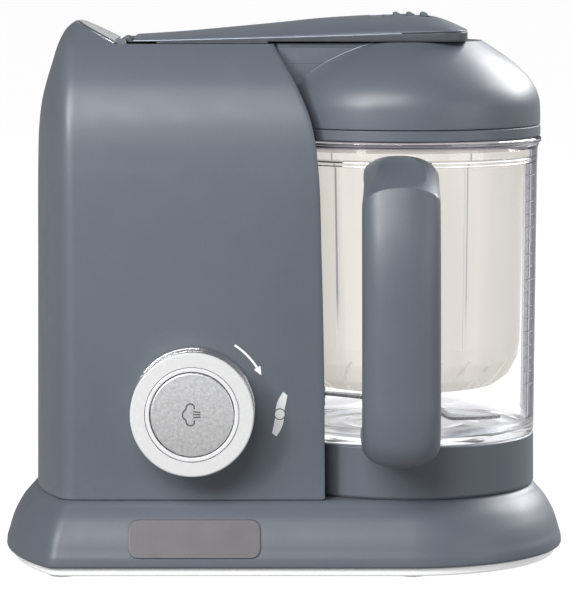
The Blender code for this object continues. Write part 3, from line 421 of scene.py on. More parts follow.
LOOKS = {
    "slate": moulded("slate_satin", SLATE_COLOUR, 0.41, edge=0.3),
    "slate_base": moulded("slate_flared", SLATE_COLOUR, 0.47, edge=0.3),
    # A darker copy of slate: painted shade on the band along the arm's edge.
    "slate_band_shade": moulded("slate_shaded", scaled(SLATE_COLOUR, 0.55), 0.41, edge=0.3),
    # A much lighter copy of slate: painted highlight for the fine beads along edges.
    "slate_lit": moulded("slate_gleam", scaled(SLATE_COLOUR, 4.0), 0.3, grain=900.0),
    "plaque": moulded("plaque_rose_grey", (0.088, 0.083, 0.091), 0.5, grain=1100.0, edge=0.2),
    # Pale plastic with a painted glow: it emits a little of its own tone, standing in for light from the
    # floor.
    "pale": moulded("plate_pale_painted_glow", (0.92, 0.92, 0.92), 0.28, wear=0.02, drift=0.02, coat=0.3,
                    glow=0.12),
    "white": moulded("knob_white", WHITE_COLOUR, 0.3, grain=1300.0, depth=0.008, wear=0.03,
                     drift=0.02, coat=0.15),
    "collar": moulded("collar_bright", (0.62, 0.62, 0.63), 0.2, wear=0.03, drift=0.02, coat=0.6),
    "black": moulded("black_plastic", (0.018, 0.018, 0.02), 0.5, depth=0.03, edge=0.2),
    "rubber": moulded("rubber_grey", (0.24, 0.24, 0.25), 0.75, grain=900.0, depth=0.05, wear=0.04),
    "foot": moulded("rubber_pale", (0.72, 0.72, 0.73), 0.6, grain=900.0, depth=0.04, wear=0.02),
    "board": moulded("board_green", (0.02, 0.12, 0.05), 0.4, grain=700.0, depth=0.03),
    "ink": moulded("print_white", INK_COLOUR, 0.5, wear=0.0, drift=0.02),
    "ink_grey": moulded("print_grey", (0.60, 0.60, 0.61), 0.5, wear=0.0, drift=0.03),
    "ink_dark": moulded("print_dark", (0.06, 0.06, 0.065), 0.5, wear=0.0, drift=0.05),
    "mark": moulded("print_mark", (0.30, 0.30, 0.33), 0.5, wear=0.0, drift=0.05),
    # The button's lower part gets painted shade.
    "silver": metal("button_silver", SILVER_COLOUR, 0.42, grain=2200.0, depth=0.05, drift=0.09,
                    blotch=0.0, shade_rise=(KNOB_Z - 20.0, KNOB_Z + 14.0, 0.78)),
    "trim": metal("trim_light", (0.70, 0.71, 0.73), 0.3, stretch=(0.05, 1.0, 0.05)),
    "chrome": metal("ring_chrome", CHROME_COLOUR, 0.12, grain=500.0, depth=0.002, drift=0.02),
    "blade": metal("blade_dark_steel", (0.16, 0.16, 0.17), 0.25, stretch=(1.0, 1.0, 0.06)),
    "steel": metal("steel_brushed", (0.60, 0.60, 0.61), 0.28, stretch=(1.0, 1.0, 0.06)),
    "brass": metal("brass_turned", (0.68, 0.48, 0.22), 0.3, stretch=(1.0, 1.0, 8.0)),
    "copper": metal("winding_copper", (0.72, 0.32, 0.16), 0.34, stretch=(1.0, 1.0, 12.0)),
    "clear": clear_plastic("bowl_clear", PURE_WHITE),
    "cream": milky_plastic("basket_cream", CREAM_COLOUR),
}


# Outlines and profiles


def smooth_row(table, at):
    """A table's columns at a place along its first column, by a cubic through its rows."""
    rows = np.array(table, float)
    xs = rows[:, 0]
    slopes = np.gradient(rows, xs, axis=0)
    k = int(np.clip(np.searchsorted(xs, at) - 1, 0, len(xs) - 2))
    h = xs[k + 1] - xs[k]
    t = (at - xs[k]) / h
    return (
        rows[k] * (2 * t**3 - 3 * t**2 + 1) + slopes[k] * h * (t**3 - 2 * t**2 + t)
        + rows[k + 1] * (3 * t**2 - 2 * t**3) + slopes[k + 1] * h * (t**3 - t**2)
    )


def smooth_line(points, count):
    """A smooth line of evenly spaced points through the given ones."""
    pts = np.array(points, float)
    gaps = np.linalg.norm(np.diff(pts, axis=0), axis=1)
    far = np.concatenate([[0.0], np.cumsum(gaps)])
    table = np.column_stack([far, pts])
    return [tuple(smooth_row(table, t)[1:]) for t in np.linspace(0.0, far[-1], count)]


def bend(start, middle, end, steps=6):
    """A curve from start to end that leaves towards the middle point and arrives from it."""
    points = []
    for k in range(steps + 1):
        t = k / steps
        a, b, c = (1 - t) ** 2, 2 * t * (1 - t), t * t
        points.append(tuple(a * s + b * m + c * e for s, m, e in zip(start, middle, end)))
    return points


def fillet(corners, steps=4, closed=True):
    """An outline from (a, b) or (a, b, radius) corners, with a curve at each that has a radius."""
    found = []
    count = len(corners)
    for i, corner in enumerate(corners):
        here = Vector(corner[:2])
        radius = corner[2] if len(corner) > 2 else 0.0
        if radius == 0.0 or (not closed and i in (0, count - 1)):
            found.append(tuple(here))
            continue
        before = Vector(corners[i - 1][:2]) - here
        after = Vector(corners[(i + 1) % count][:2]) - here
        reach = radius / math.tan(before.angle(after) / 2)
        start = here + before.normalized() * min(reach, before.length * 0.49)
        end = here + after.normalized() * min(reach, after.length * 0.49)
        found += bend(start, here, end, steps)
    return found


def arc(x, y, r, start, end, steps=16):
    """Points on an arc between two angles in degrees."""
    found = []
    for k in range(steps + 1):
        angle = math.radians(start + (end - start) * k / steps)
        found.append((x + r * math.cos(angle), y + r * math.sin(angle)))
    return found


def rounded_box(left, right, low, high, radius, steps):
    corners = [(left, low, radius), (right, low, radius), (right, high, radius), (left, high, radius)]
    return fillet(corners, steps)


def circle(x, y, r, steps=48):
    return [(x + r * math.cos(TAU * k / steps), y + r * math.sin(TAU * k / steps))
            for k in range(steps)]


def around_bowl(r, angle, z):
    """The place at a distance and an angle from the bowl's axis."""
    return (BOWL_X + r * math.cos(angle), r * math.sin(angle), z)


def rounded_arc(centre, radius, half, swing, inward, steps, bends):
    """Rear corner, left arc and front corner of an outline with its sides at plus and minus half."""
    arc_points = []
    for k in range(steps + 1):
        angle = swing - 2 * swing * k / steps
        arc_points.append((centre - radius * math.cos(angle), radius * math.sin(angle)))
    edge = centre - math.sqrt(radius * radius - half * half)
    rear = bend((edge + inward, half), (edge, half), arc_points[0], bends)
    front = bend(arc_points[-1], (edge, -half), (edge + inward, -half), bends)
    return rear, arc_points, front


def pocket_arc(radius, half, soft, inward, steps, bends):
    """The same for an arc about the bowl's axis, with corners that are soft millimetres long."""
    swing = math.asin(half / radius)
    swing -= min(soft / radius, swing * 0.3)
    return rounded_arc(BOWL_X, radius, half, swing, inward, steps, bends)


# Meshes


def add_object(name, points, faces, turn=None):
    """A mesh in place, welded, with every face turned outwards."""
    mesh = bpy.data.meshes.new(name)
    mesh.from_pydata([Vector(p) * MM for p in points], [], faces)
    if turn:
        mesh.transform(turn)
    bm = bmesh.new()
    bm.from_mesh(mesh)
    bmesh.ops.remove_doubles(bm, verts=bm.verts, dist=0.000002)
    bmesh.ops.recalc_face_normals(bm, faces=bm.faces)
    bm.to_mesh(mesh)
    bm.free()
    obj = bpy.data.objects.new(name, mesh)
    bpy.context.scene.collection.objects.link(obj)
    return obj


def skin(rings):
    """Points and faces through rings of equally many points, with the two ends closed."""
    count = len(rings[0])
    last = (len(rings) - 1) * count
    points = [p for ring in rings for p in ring]
    faces = []
    for a in range(0, last, count):
        for i in range(count):
            j = (i + 1) % count
            faces.append((a + i, a + j, a + count + j, a + count + i))
    return points, faces + [tuple(range(count)), tuple(range(last, last + count))]


def loft(name, rings, turn=None):
    return add_object(name, *skin(rings), turn)


def lathe(name, profile, centre=(0.0, 0.0), steps=96, turn=None):
    """A profile of (radius, height) turned about a vertical axis, closed on itself or on the axis."""
    on_axis = profile[0][0] == 0.0
    count = len(profile)
    points = []
    for k in range(steps):
        c, s = math.cos(TAU * k / steps), math.sin(TAU * k / steps)
        points += [(centre[0] + r * c, centre[1] + r * s, z) for r, z in profile]
    faces = []
    for k in range(steps):
        a, b = k * count, (k + 1) % steps * count
        for i in range(count - 1 if on_axis else count):
            j = (i + 1) % count
            corners = [a + i, b + i, b + j, a + j]
            if profile[i][0] == 0.0:
                corners.remove(b + i)
            if profile[j][0] == 0.0:
                corners.remove(b + j)
            faces.append(corners)
    return add_object(name, points, faces, turn)


def prism(name, outline, low, high, along="Z", turn=None):
    """An outline pushed from low to high along an axis. Its own axes are the other two, in order."""
    def corner(a, b, c):
        return {"Z": (a, b, c), "Y": (a, c, b), "X": (c, a, b)}[along]
    return loft(name, [[corner(a, b, level) for a, b in outline] for level in (low, high)], turn)


def block(name, low, high):
    """A box between two corners."""
    (a, b, c), (d, e, f) = low, high
    return prism(name, [(a, b), (d, b), (d, e), (a, e)], c, f)


def side_blocks(name, near, far, low, high):
    """Two blocks from near to far on either side of the middle, between two (x, z) corners."""
    return [block(name, (low[0], a, low[1]), (high[0], b, high[1]))
            for a, b in ((-far, -near), (near, far))]


def rod(name, r, low, high, centre=(0.0, 0.0), steps=48, turn=None, edge=0.0):
    """A round bar about a vertical axis, with rounded rims."""
    profile = [(0.0, high), (r, high, edge), (r, low, edge), (0.0, low)]
    return lathe(name, fillet(profile, 3, closed=False), centre, steps, turn)


def facing_front(x, z):
    """Turns a shape built upright so that its top faces the front."""
    return Matrix.Translation(Vector((x, 0.0, z)) * MM) @ Matrix.Rotation(math.pi / 2, 4, "X")


def along_y(x, z):
    return Matrix.Translation(Vector((x, 0.0, z)) * MM) @ Matrix.Rotation(-math.pi / 2, 4, "X")


def along_x(y, z):
    return Matrix.Translation(Vector((0.0, y, z)) * MM) @ Matrix.Rotation(math.pi / 2, 4, "Y")


def bake(obj):
    """Gives the object the mesh that its modifiers make."""
    scene = bpy.context.evaluated_depsgraph_get()
    mesh = bpy.data.meshes.new_from_object(obj.evaluated_get(scene))
    obj.modifiers.clear()
    obj.data = mesh
    return obj


def combine(obj, operation, tools):
    """Joins or cuts an object with tools, which are used up."""
    bag = bpy.data.collections.new("tools")
    bpy.context.scene.collection.children.link(bag)
    for tool in tools:
        bag.objects.link(tool)
    modifier = obj.modifiers.new("Combine", "BOOLEAN")
    modifier.operand_type = "COLLECTION"
    modifier.collection = bag
    modifier.operation = operation
    modifier.solver = "EXACT"
    bake(obj)
    for tool in tools:
        bpy.data.objects.remove(tool, do_unlink=True)
    bpy.data.collections.remove(bag)
    return obj


def cut(obj, *tools):
    return combine(obj, "DIFFERENCE", tools)


def join(obj, *tools):
    return combine(obj, "UNION", tools)


def give_look(obj, look):
    obj.data.materials.clear()
    obj.data.materials.append(LOOKS[look])
    obj.data.shade_smooth()


def even_shading(obj):
    obj.modifiers.new("Even shading", "WEIGHTED_NORMAL").keep_sharp = True


def settle(obj, look, body, *nodes, sharp=32.0):
    """Shades a finished piece, gives it its look, and lets it ride in place of its CAD nodes."""
    give_look(obj, look)
    obj.data.set_sharp_from_angle(angle=math.radians(sharp))
    even_shading(obj)
    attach(obj, body)
    if nodes:
        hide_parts(*nodes)


def turned(name, profile, soft, look, body, node, centre=BOWL_AXIS, steps=96, turn=None, sharp=32.0):
    """A finished round piece from a profile with soft corners."""
    on_axis = profile[0][0] == 0.0
    outline = fillet(profile, soft, closed=not on_axis)
    settle(lathe(name, outline, centre, steps, turn), look, body, node, sharp=sharp)


def painted_highlight_beads(name, places, half, radii):
    """Fine beads of painted highlight along (x, z) places on the lid's front and rear, half off its
    middle.
    """
    rx, ry, rz = radii
    for end, side in (("_front", -1), ("_rear", 1)):
        rings = [[(x + rx * c, side * (half + ry * s), z + rz * c) for c, s in circle(0, 0, 1, 8)]
                 for x, z in places]
        settle(loft(name + end, rings), "slate_lit", "lid")


# Base


def left_end(centre, radius, half, corner, z, steps, soft):
    """An outline's curved left end, with a corner of that length at its rear and at its front."""
    swing = math.asin((half - corner) / radius)
    rear, curve, front = rounded_arc(centre, radius, half, swing, corner, steps, soft)
    return [(x, y, z) for x, y in rear + curve[1:-1] + front]


def base_ring(z, inset):
    """The base's outline at a height: a round right end, straight sides and a curved left end."""
    half = BASE_HALF - inset
    ring = [around_bowl(half, -math.pi / 2 + math.pi * k / 64, z) for k in range(65)]
    left = BASE_LEFT + BASE_LEFT_R
    return ring + left_end(left, BASE_LEFT_R - inset, half, BASE_CORNER, z, steps=24, soft=12)


def base_inset(z):
    return float(smooth_row(BASE_PROFILE, z)[1])


def make_base():
    heights = [
        (31.9, 16.6), (27.0, 10.4), (19.7, 6.3), (12.4, 3.9), (4.9, 3.4),
        (4.95, 1.5), (5.05, 0.9), (5.4, 0.35), (5.9, 0.1),
    ]
    heights += smooth_line(BASE_PROFILE, 34) + [(34.7, 15.2)]
    shell = loft("base_housing", [base_ring(z, inset) for z, inset in heights])
    relief_x, _, relief_z = middle_mm("strain_relief")
    cut(
        shell,
        rod("base_drive_hole", 11.0, 28.0, 40.0, BOWL_AXIS),
        rod("base_motor_hole", 16.0, 28.0, 40.0, middle_mm("motor_shaft")[:2]),
        rod("base_cord_hole", 5.2, 60.0, 90.0, turn=along_y(relief_x, relief_z)),
    )
    settle(shell, "slate_base", "housing", "base_shell")
    heights = (
        (PLATE_LOW.z, 4.9), (1.0, 4.4), (1.4, 3.8), (2.0, 3.4), (3.6, 3.2), (4.2, 3.3),
        (PLATE_HIGH.z, 3.6),
    )
    plate = loft("bottom_strip", [base_ring(z, inset) for z, inset in heights])
    pad = [(0.0, 4.4), (6.7, 4.4, 0.4), (6.7, 0.0, 1.0), (4.6, 0.0, 0.2), (4.2, 0.5, 0.2), (0.0, 0.5)]
    holes = []
    for corner in ("front_left", "front_right", "rear_left", "rear_right"):
        place = middle_mm("foot_" + corner)[:2]
        holes.append(rod("foot_hole", 7.0, -2.0, 8.0, place))
        turned("foot_pad_" + corner, pad, 3, "foot", "housing", "foot_" + corner, place, 48)
    cut(plate, *holes)
    # The pale look brightens the strip with a painted glow.
    settle(plate, "pale", "housing", "bottom_plate")
    make_plaque()


def make_plaque():
    """A blank raised plaque with rounded corners on the sloping front of the base."""
    left, right = PLAQUE_LOW.x, PLAQUE_HIGH.x
    low, high = PLAQUE_LOW.z + 0.1, PLAQUE_HIGH.z - 0.1
    edge = rounded_box(left, right, low, high, 5.0, 8)
    middle = Vector(((left + right) / 2, (low + high) / 2))
    rings = []
    for shrink, out in ((0.0, -0.4), (0.0, 0.45), (0.12, 0.65), (0.4, 0.78), (1.0, 0.82)):
        ring = []
        for place in edge:
            spot = Vector(place) - (Vector(place) - middle).normalized() * shrink
            ring.append((spot.x, -(BASE_HALF - base_inset(spot.y)) - out, spot.y))
        rings.append(ring)
    settle(loft("front_plaque", rings), "plaque", "housing", "base_plaque")


# Body


def body_ring(z, half, left, radius, soft):
    """The body's outline at a height: hollow right end, straight sides and curved left end."""
    corner = min(BODY_CORNER, half * 0.4)
    rear, hollow, front = pocket_arc(radius, half, soft, -soft, 48, 5)
    end = left_end(left + BODY_LEFT_R, BODY_LEFT_R, half, corner, z, steps=16, soft=10)
    side, start = end[-1][0], front[-1][0]
    ring = [(x, y, z) for x, y in hollow[:-1] + front]
    ring += [(start + (side - start) * k / 6, -half, z) for k in range(1, 6)]
    ring += end[::-1]
    ring += [(side + (start - side) * k / 6, half, z) for k in range(1, 6)]
    return ring + [(x, y, z) for x, y in rear[:-1]]


def make_body():
    rings = [body_ring(z, half, left, POCKET_R + BODY_WALL, 0.6)
             for z, half, left in reversed(BODY_INSIDE)]
    low, top = BODY_PROFILE[0][0], BODY_PROFILE[-1][0]
    heights = [low, low + 0.35, 50.0, 70.0, 90.0, 110.0, 130.0, 150.0, 165.0, 178.0]
    heights += list(np.linspace(186.0, top, 46))
    for z in heights:
        _, half, left = smooth_row(BODY_PROFILE, z)
        tuck = 0.35 if z == low else 0.0
        rings.append(body_ring(z, half - tuck, left + tuck, POCKET_R + tuck, 4.5))
    for z, half, left in ((260.75, 7.5, -96.2), (260.95, 4.0, -95.0), (261.0, 1.6, -94.2)):
        rings.append(body_ring(z, half, left, POCKET_R, 1.0))
    body = loft("body_housing", rings)
    step = [SLOPE_FOOT, (30.0, DECK_Z), (30.0, SLOPE_TOP[1]), SLOPE_TOP]
    cut(
        body,
        prism("deck_cut", step, -80.0, 80.0, along="Y"),
        block("hinge_gap", (SLOPE_FOOT[0], -36.95, 245.0), (-74.4, 36.95, 252.0)),
        rod("boiler_well", 24.0, 238.0, 252.0, (BOILER_X, 0.0), steps=72),
        rod("knob_hole", 6.2, 50.0, 75.0, turn=facing_front(KNOB_X, KNOB_Z)),
        rod("nozzle_hole", 4.0, -30.0, -10.0, turn=along_x(0.0, STEAM_Z)),
        rod("interlock_hole", 2.3, 238.0, 252.0, (-64.0, 27.0)),
        block("latch_slot", (-32.0, LATCH_Y - 3.2, 238.0), (-19.0, LATCH_Y + 3.2, 252.0)),
    )
    join(body, hinge_lug(-36.8, -31.2), hinge_lug(-8.0, 8.0), hinge_lug(31.2, 36.8))
    pin_hole = rod("pin_hole", PIN_HOLE_R, -36.65, 36.65, turn=along_y(HINGE_X, HINGE_Z), steps=32)
    cut(body, pin_hole)
    settle(body, "slate", "housing", "body_shell")
    make_trim()


def hinge_lug(low, high):
    """A barrel about the hinge axis on a foot that stands in the hinge gap."""
    left, right = HINGE_X - BARREL_R, HINGE_X + BARREL_R
    outline = arc(HINGE_X, HINGE_Z, BARREL_R, 0.0, 180.0, 24) + [(left, 244.0), (right, 244.0)]
    return prism("hinge_lug", outline, low, high, along="Y")


def make_trim():
    """Two light strips with a dark seam strip between them, painted shade in place of the shadowed gap,
    on the slope down to the hinge gap.
    """
    slope = math.atan2(SLOPE_TOP[1] - SLOPE_FOOT[1], SLOPE_TOP[0] - SLOPE_FOOT[0])
    ahead = Vector((math.cos(slope), math.sin(slope)))
    out = Vector((ahead.y, -ahead.x))
    foot = Vector((SLOPE_FOOT[0] - 0.6, DECK_Z + 0.3))
    edges = []
    for distance in np.linspace(0.0, 20.6, 22):
        _, body_half, _ = smooth_row(BODY_PROFILE, DECK_Z + distance * ahead.y)
        edges.append((distance, (body_half - 1.6) * math.sqrt(1.0 - (distance / 21.2) ** 8)))
    for name, lift, thick, inset, look, nodes in (
        ("hinge_trim_plate", -0.1, 0.6, 0.0, "trim", ("hinge_trim",)),
        # A dark strip in the print look: painted shade where the gap between the strips lies.
        ("hinge_trim_shade_strip", 0.5, 0.4, 0.6, "ink_dark", ()),
        ("hinge_trim_top", 0.9, 0.3, 0.6, "trim", ()),
    ):
        rings = []
        for distance, half in edges:
            along = foot + ahead * (distance + inset * (0.5 if distance == 0.0 else -0.5))
            low, high = along + out * lift, along + out * (lift + thick)
            h = half - inset
            rings.append([(low.x, -h, low.y), (low.x, h, low.y), (high.x, h - 0.2, high.y),
                          (high.x, 0.2 - h, high.y)])
        settle(loft(name, rings), look, "housing", *nodes)


# Lid arm


def arm_half(x):
    """Half width of the arm: full along most of it, with rounded corners at the right end."""
    start, least = 76.0, 27.0
    if x <= start:
        return ARM_HALF
    t = min(1.0, (x - start) / (ARM_END - start))
    return least + (ARM_HALF - least) * math.sqrt(max(0.0, 1 - t * t))


def crown_share(across):
    """Rise of the arm's rounded crown at a place from -1 to 1 across it."""
    return max(0.0, 1 - abs(across) ** 2.6) ** 0.62


def arm_section(x, crown, seam, inset, floor, count=48):
    """A cross-section of the arm's cover at x, from a flat bottom up to the rounded crown."""
    half = arm_half(x) - inset
    points = [(x, -half, floor), (x, half, floor)]
    for k in range(count + 1):
        y = math.cos(math.pi * k / count)
        points.append((x, half * y, seam + (crown - seam) * crown_share(y)))
    return points


def make_arm():
    sections = []
    for x in (*np.linspace(ARM_PROFILE[0][0], 74.0, 46), *ARM_TIP):
        _, crown, seam = smooth_row(ARM_PROFILE, x)
        sections.append(arm_section(x, crown, seam + 0.3, 0.1, seam + 0.14))
    cover = loft("lid_arm_cover", sections)
    hollow = []
    for x in (-20.0, 0.0, 17.0, 32.0, 46.0, 66.0, 73.0, 79.0, 85.0):
        _, crown, seam = smooth_row(ARM_PROFILE, x)
        hollow.append(arm_section(x, crown - 2.0, seam - 1.0, 2.2, seam - 3.0, 24))
    cut(
        cover,
        loft("cover_hollow", hollow),
        prism("slider_recess", rounded_box(41.6, 71.4, -15.9, 15.9, 3.0, 6), 260.9, 270.0),
        block("slider_slot", (49.4, 13.1, 250.0), (64.6, 18.9, 270.0)),
        block("latch_relief", (-31.0, LATCH_Y - 2.8, 248.0), (-17.0, LATCH_Y + 2.8, 253.2)),
    )
    settle(cover, "slate", "lid", "arm_cover")
    make_arm_tray()


def arm_seam(x):
    """Height of the seam between the arm's cover and its tray."""
    return float(smooth_row(ARM_PROFILE, x)[2])


def make_arm_tray():
    """The tray under the cover: its rim is the band along the arm's edge. Two barrels hold the pin."""
    near = [(x, -arm_half(x)) for x in (-74.5, 70.0, 73.0, *ARM_TIP)]
    outline = near + [(x, -y) for x, y in reversed(near)]
    rings = []
    for share, tuck in ((0.0, 0.45), (0.1, 0.12), (0.25, 0.0), (0.80, 0.0), (0.90, 0.12),
                        (0.97, 0.32), (1.0, 0.6)):
        ring = []
        for x, y in outline:
            top = 250.0 if x < -72.0 else arm_seam(x)
            z = ARM_UNDER + (top - ARM_UNDER) * share
            ring.append((min(x, ARM_END - tuck), y - math.copysign(tuck, y), z))
        rings.append(ring)
    tray = loft("lid_arm_tray", rings)
    hollow = [(-18.0, -36.3), (76.0, -36.3), (85.8, -26.0), (85.8, 26.0), (76.0, 36.3), (-18.0, 36.3)]
    cut(
        tray,
        prism("tray_hollow", hollow, 251.1, 270.0),
        block("latch_window", (-31.0, LATCH_Y - 2.8, 240.0), (-17.0, LATCH_Y + 2.8, 258.0)),
    )
    hinge = along_y(HINGE_X, HINGE_Z)
    web = [(HINGE_X, 249.7), (-73.0, 249.7), (-73.0, 250.45), (HINGE_X, 250.5)]
    lips = side_blocks("arm_lip", 36.6, ARM_HALF - 0.08, (-61.0, DECK_Z + 0.25), (-8.0, 250.2))
    tools = []
    for (low, high), lip in zip(((-30.8, -8.4), (8.4, 30.8)), lips):
        barrel = rod("lid_barrel", BARREL_R, low, high, turn=hinge, edge=0.2)
        tools += [barrel, prism("barrel_web", web, low + 0.5, high - 0.5, along="Y"), lip]
    join(tray, *tools)
    cut(tray, rod("barrel_hole", PIN_HOLE_R, -50.0, 50.0, turn=hinge, steps=32))
    # The band's darker slate is painted shade.
    settle(tray, "slate_band_shade", "lid", "arm_base")
    # Painted highlight: a fine light bead along the top edge of the band, front and rear.
    places = [(x, arm_seam(x) - 0.12) for x in np.linspace(-72.0, 56.0, 40)]
    painted_highlight_beads("arm_edge_highlight", places, ARM_HALF - 0.02, (0.0, 0.14, 0.2))


def make_slider():
    """Pad with three grip ribs on the crown, and a latch bar inside that reaches back to the deck."""
    pad = rounded_box(48.0, 70.9, -15.3, 15.3, 3.0, 8)
    rings = []
    for lift, tuck in ((-9.0, 0.15), (-0.2, 0.0), (-0.05, 0.06), (0.0, 0.2)):
        ring = []
        for x, y in pad:
            _, crown, seam = smooth_row(ARM_PROFILE, min(x, 71.0))
            top = seam + (crown - seam) * crown_share(y / ARM_HALF) + 0.08 + lift
            ring.append((x - math.copysign(tuck, x - 60.4), y - math.copysign(tuck, y), max(top, 261.0)))
        rings.append(ring)
    slider = loft("release_slider_pad", rings)
    hook = [(-23.6, 251.9), (-19.9, 251.9), (-19.9, 245.0), (-21.4, 243.6), (-23.6, 243.6)]
    rib = [(-1.5, 261.2), (1.5, 261.2), (1.3, 262.5, 0.4), (0.0, 262.9, 0.5), (-1.3, 262.5, 0.4)]
    ribs = [prism("grip_rib", [(x + a, z) for a, z in fillet(rib, 3)], -14.0, 14.0, along="Y")
            for x in (54.6, 61.2, 68.0)]
    join(
        slider, *ribs,
        block("slider_stem", (56.0, 13.6, 252.0), (64.0, 18.4, 261.6)),
        block("latch_link", (55.0, 13.8, 251.6), (60.0, LATCH_Y + 2.0, 252.6)),
        block("latch_bar", (-23.6, LATCH_Y - 2.4, 251.7), (58.0, LATCH_Y + 2.4, 252.4)),
        prism("latch_nose", hook, LATCH_Y - 2.3, LATCH_Y + 2.3, along="Y"),
    )
    settle(slider, "slate", "slider", "release_slider")


# Lid


def bridge_outline(radius, half, right, soft):
    """Plan of the bridge block: straight front and rear, with a left end that follows the pocket."""
    rear, hollow, front = pocket_arc(radius, half, soft, soft, 30, 6)
    return [(right, half)] + rear[:-1] + hollow[:-1] + front + [(right, -half)]


def make_lid():
    curve = smooth_line(DOME_PROFILE, 44)
    profile = [(0.0, 249.2), (37.0, 249.2)] + curve + [(66.3, 208.85), (66.0, 208.7), (0.0, 208.7)]
    dome = lathe("lid_dome_shell", profile, BOWL_AXIS, 160)
    bridge = prism("bridge_block", bridge_outline(BLOCK_R, BLOCK_HALF, 47.0, 2.0), 212.0, 248.7)
    grooves = []
    for z, tall, deep in ((246.4, 0.4, 0.25), (238.5, 0.5, 0.06), (232.0, 0.5, 0.06)):
        grooves += side_blocks("bridge_groove", BLOCK_HALF - deep, BLOCK_HALF + 2.0, (-30.0, z),
                               (60.0, z + tall))
    join(dome, cut(bridge, *grooves))
    hollow = [(0.0, 246.6), (37.6, 246.6), (46.0, 240.9), (55.0, 233.6), (60.9, 225.5), (63.6, 213.5),
              (63.6, 206.0), (0.0, 206.0)]
    room = lathe("dome_room", hollow, BOWL_AXIS)
    plan = bridge_outline(BLOCK_R - 2.6, BLOCK_HALF - 2.6, 44.0, 0.5)
    join(room, prism("block_room", plan, 214.6, 244.7))
    cut(dome, room, rod("steam_inlet", 4.5, -25.0, 0.0, turn=along_x(0.0, STEAM_Z)))
    settle(dome, "slate", "lid", "lid_dome")
    make_crease_highlight()
    make_lid_plate()
    skirt = [(66.0, 208.4, 0.2), (66.5, 208.1, 0.3), (66.5, 203.6, 0.4), (65.9, 203.0, 0.4),
             (60.6, 203.0), (60.6, 208.4)]
    turned("lid_skirt_ring", skirt, 4, "slate", "lid", "lid_skirt", steps=160)
    seal = [(61.6, 202.7, 0.2), (61.4, 201.2, 0.4), (60.7, 200.6, 0.4), (58.4, 200.6, 0.3),
            (58.0, 201.4, 0.3), (60.0, 202.7, 0.2)]
    turned("lid_seal_ring", seal, 3, "rubber", "lid", "lid_seal")
    plug = [(0.0, 249.2), (22.6, 249.2, 0.15), (22.6, 248.8, 0.15), (18.8, 248.5, 0.3),
            (18.4, 246.2, 0.6), (12.0, 246.2, 0.6), (11.0, 247.0, 0.6), (0.0, 247.0)]
    turned("boiler_seal_plug", plug, 4, "rubber", "lid", "boiler_plug", (BOILER_X, 0.0), 72)


def make_lid_plate():
    """The plate inside the lid, with six vents for the steam."""
    plate = [(0.0, 206.3), (60.2, 206.3, 0.3), (60.2, 203.2, 0.5), (56.0, 200.6, 0.8),
             (12.0, 200.6, 0.5), (10.0, 200.6, 0.5), (0.0, 200.6)]
    inner = lathe("lid_steam_plate", fillet(plate, 4, closed=False), BOWL_AXIS)
    vents = [rod("vent", 5.0, 195.0, 210.0, around_bowl(30.0, TAU * (k + 0.25) / 6, 0.0), 32)
             for k in range(6)]
    settle(cut(inner, *vents), "white", "lid", "lid_inner_plate")


def make_crease_highlight():
    """A fine bead of painted highlight along the crease where the dome meets the bridge block, front and
    rear.
    """
    radii, heights = zip(*sorted(DOME_PROFILE))
    reach = math.sqrt(66.0 ** 2 - BLOCK_HALF ** 2)
    places = []
    for k in range(41):
        x = (reach - 16.0) * (k / 40) ** 0.85 + 0.2 - reach
        places.append((BOWL_X + x, float(np.interp(math.hypot(x, BLOCK_HALF), radii, heights))))
    painted_highlight_beads("lid_crease_highlight", places, BLOCK_HALF, (0.3, 0.22, 0.3))


# Bowl, blade and basket


def make_bowl():
    jug = [
        (62.2, 202.7, 0.3), (66.4, 202.7, 0.5), (67.0, 202.0, 0.5), (67.0, 200.6, 0.5),
        (66.2, 200.0, 0.8), (65.2, 197.4, 1.6), (64.9, 190.0), (63.1, 62.0, 0.6), (62.8, 60.0, 0.4),
        (11.0, 60.0), (11.0, 52.0), (8.4, 52.0), (8.4, 66.0), (11.0, 66.0, 0.8), (13.5, 62.8, 2.0),
        (24.0, 62.5, 3.0), (30.0, 63.4, 3.0), (37.0, 62.5, 3.0), (46.0, 63.1, 3.0), (56.0, 62.6, 3.0),
        (59.0, 64.2, 3.0), (60.3, 68.0, 3.0), (61.9, 190.5), (60.4, 191.4, 0.3), (60.4, 192.6, 0.3),
        (62.2, 193.6, 0.4),
    ]
    turned("bowl_clear_jug", jug, 5, "clear", "bowl", "bowl_jug", steps=160, sharp=50.0)
    ring = [(62.4, 59.5, 0.3), (63.0, 58.9, 0.4), (63.0, 36.0, 0.8), (62.2, 34.8, 0.5),
            (59.8, 34.8, 0.4), (59.8, 56.4, 0.5), (14.5, 56.4), (14.5, 59.5)]
    turned("bowl_base_ring", ring, 4, "slate", "bowl", "bowl_ring", steps=160)
    bush = [(8.1, 65.6, 0.3), (8.1, 51.0, 0.3), (3.2, 51.0), (3.2, 65.6)]
    turned("blade_bush_sleeve", bush, 3, "brass", "bowl", "blade_bush", steps=48)
    make_level_marks()
    make_handle()
    make_blade()
    make_basket()


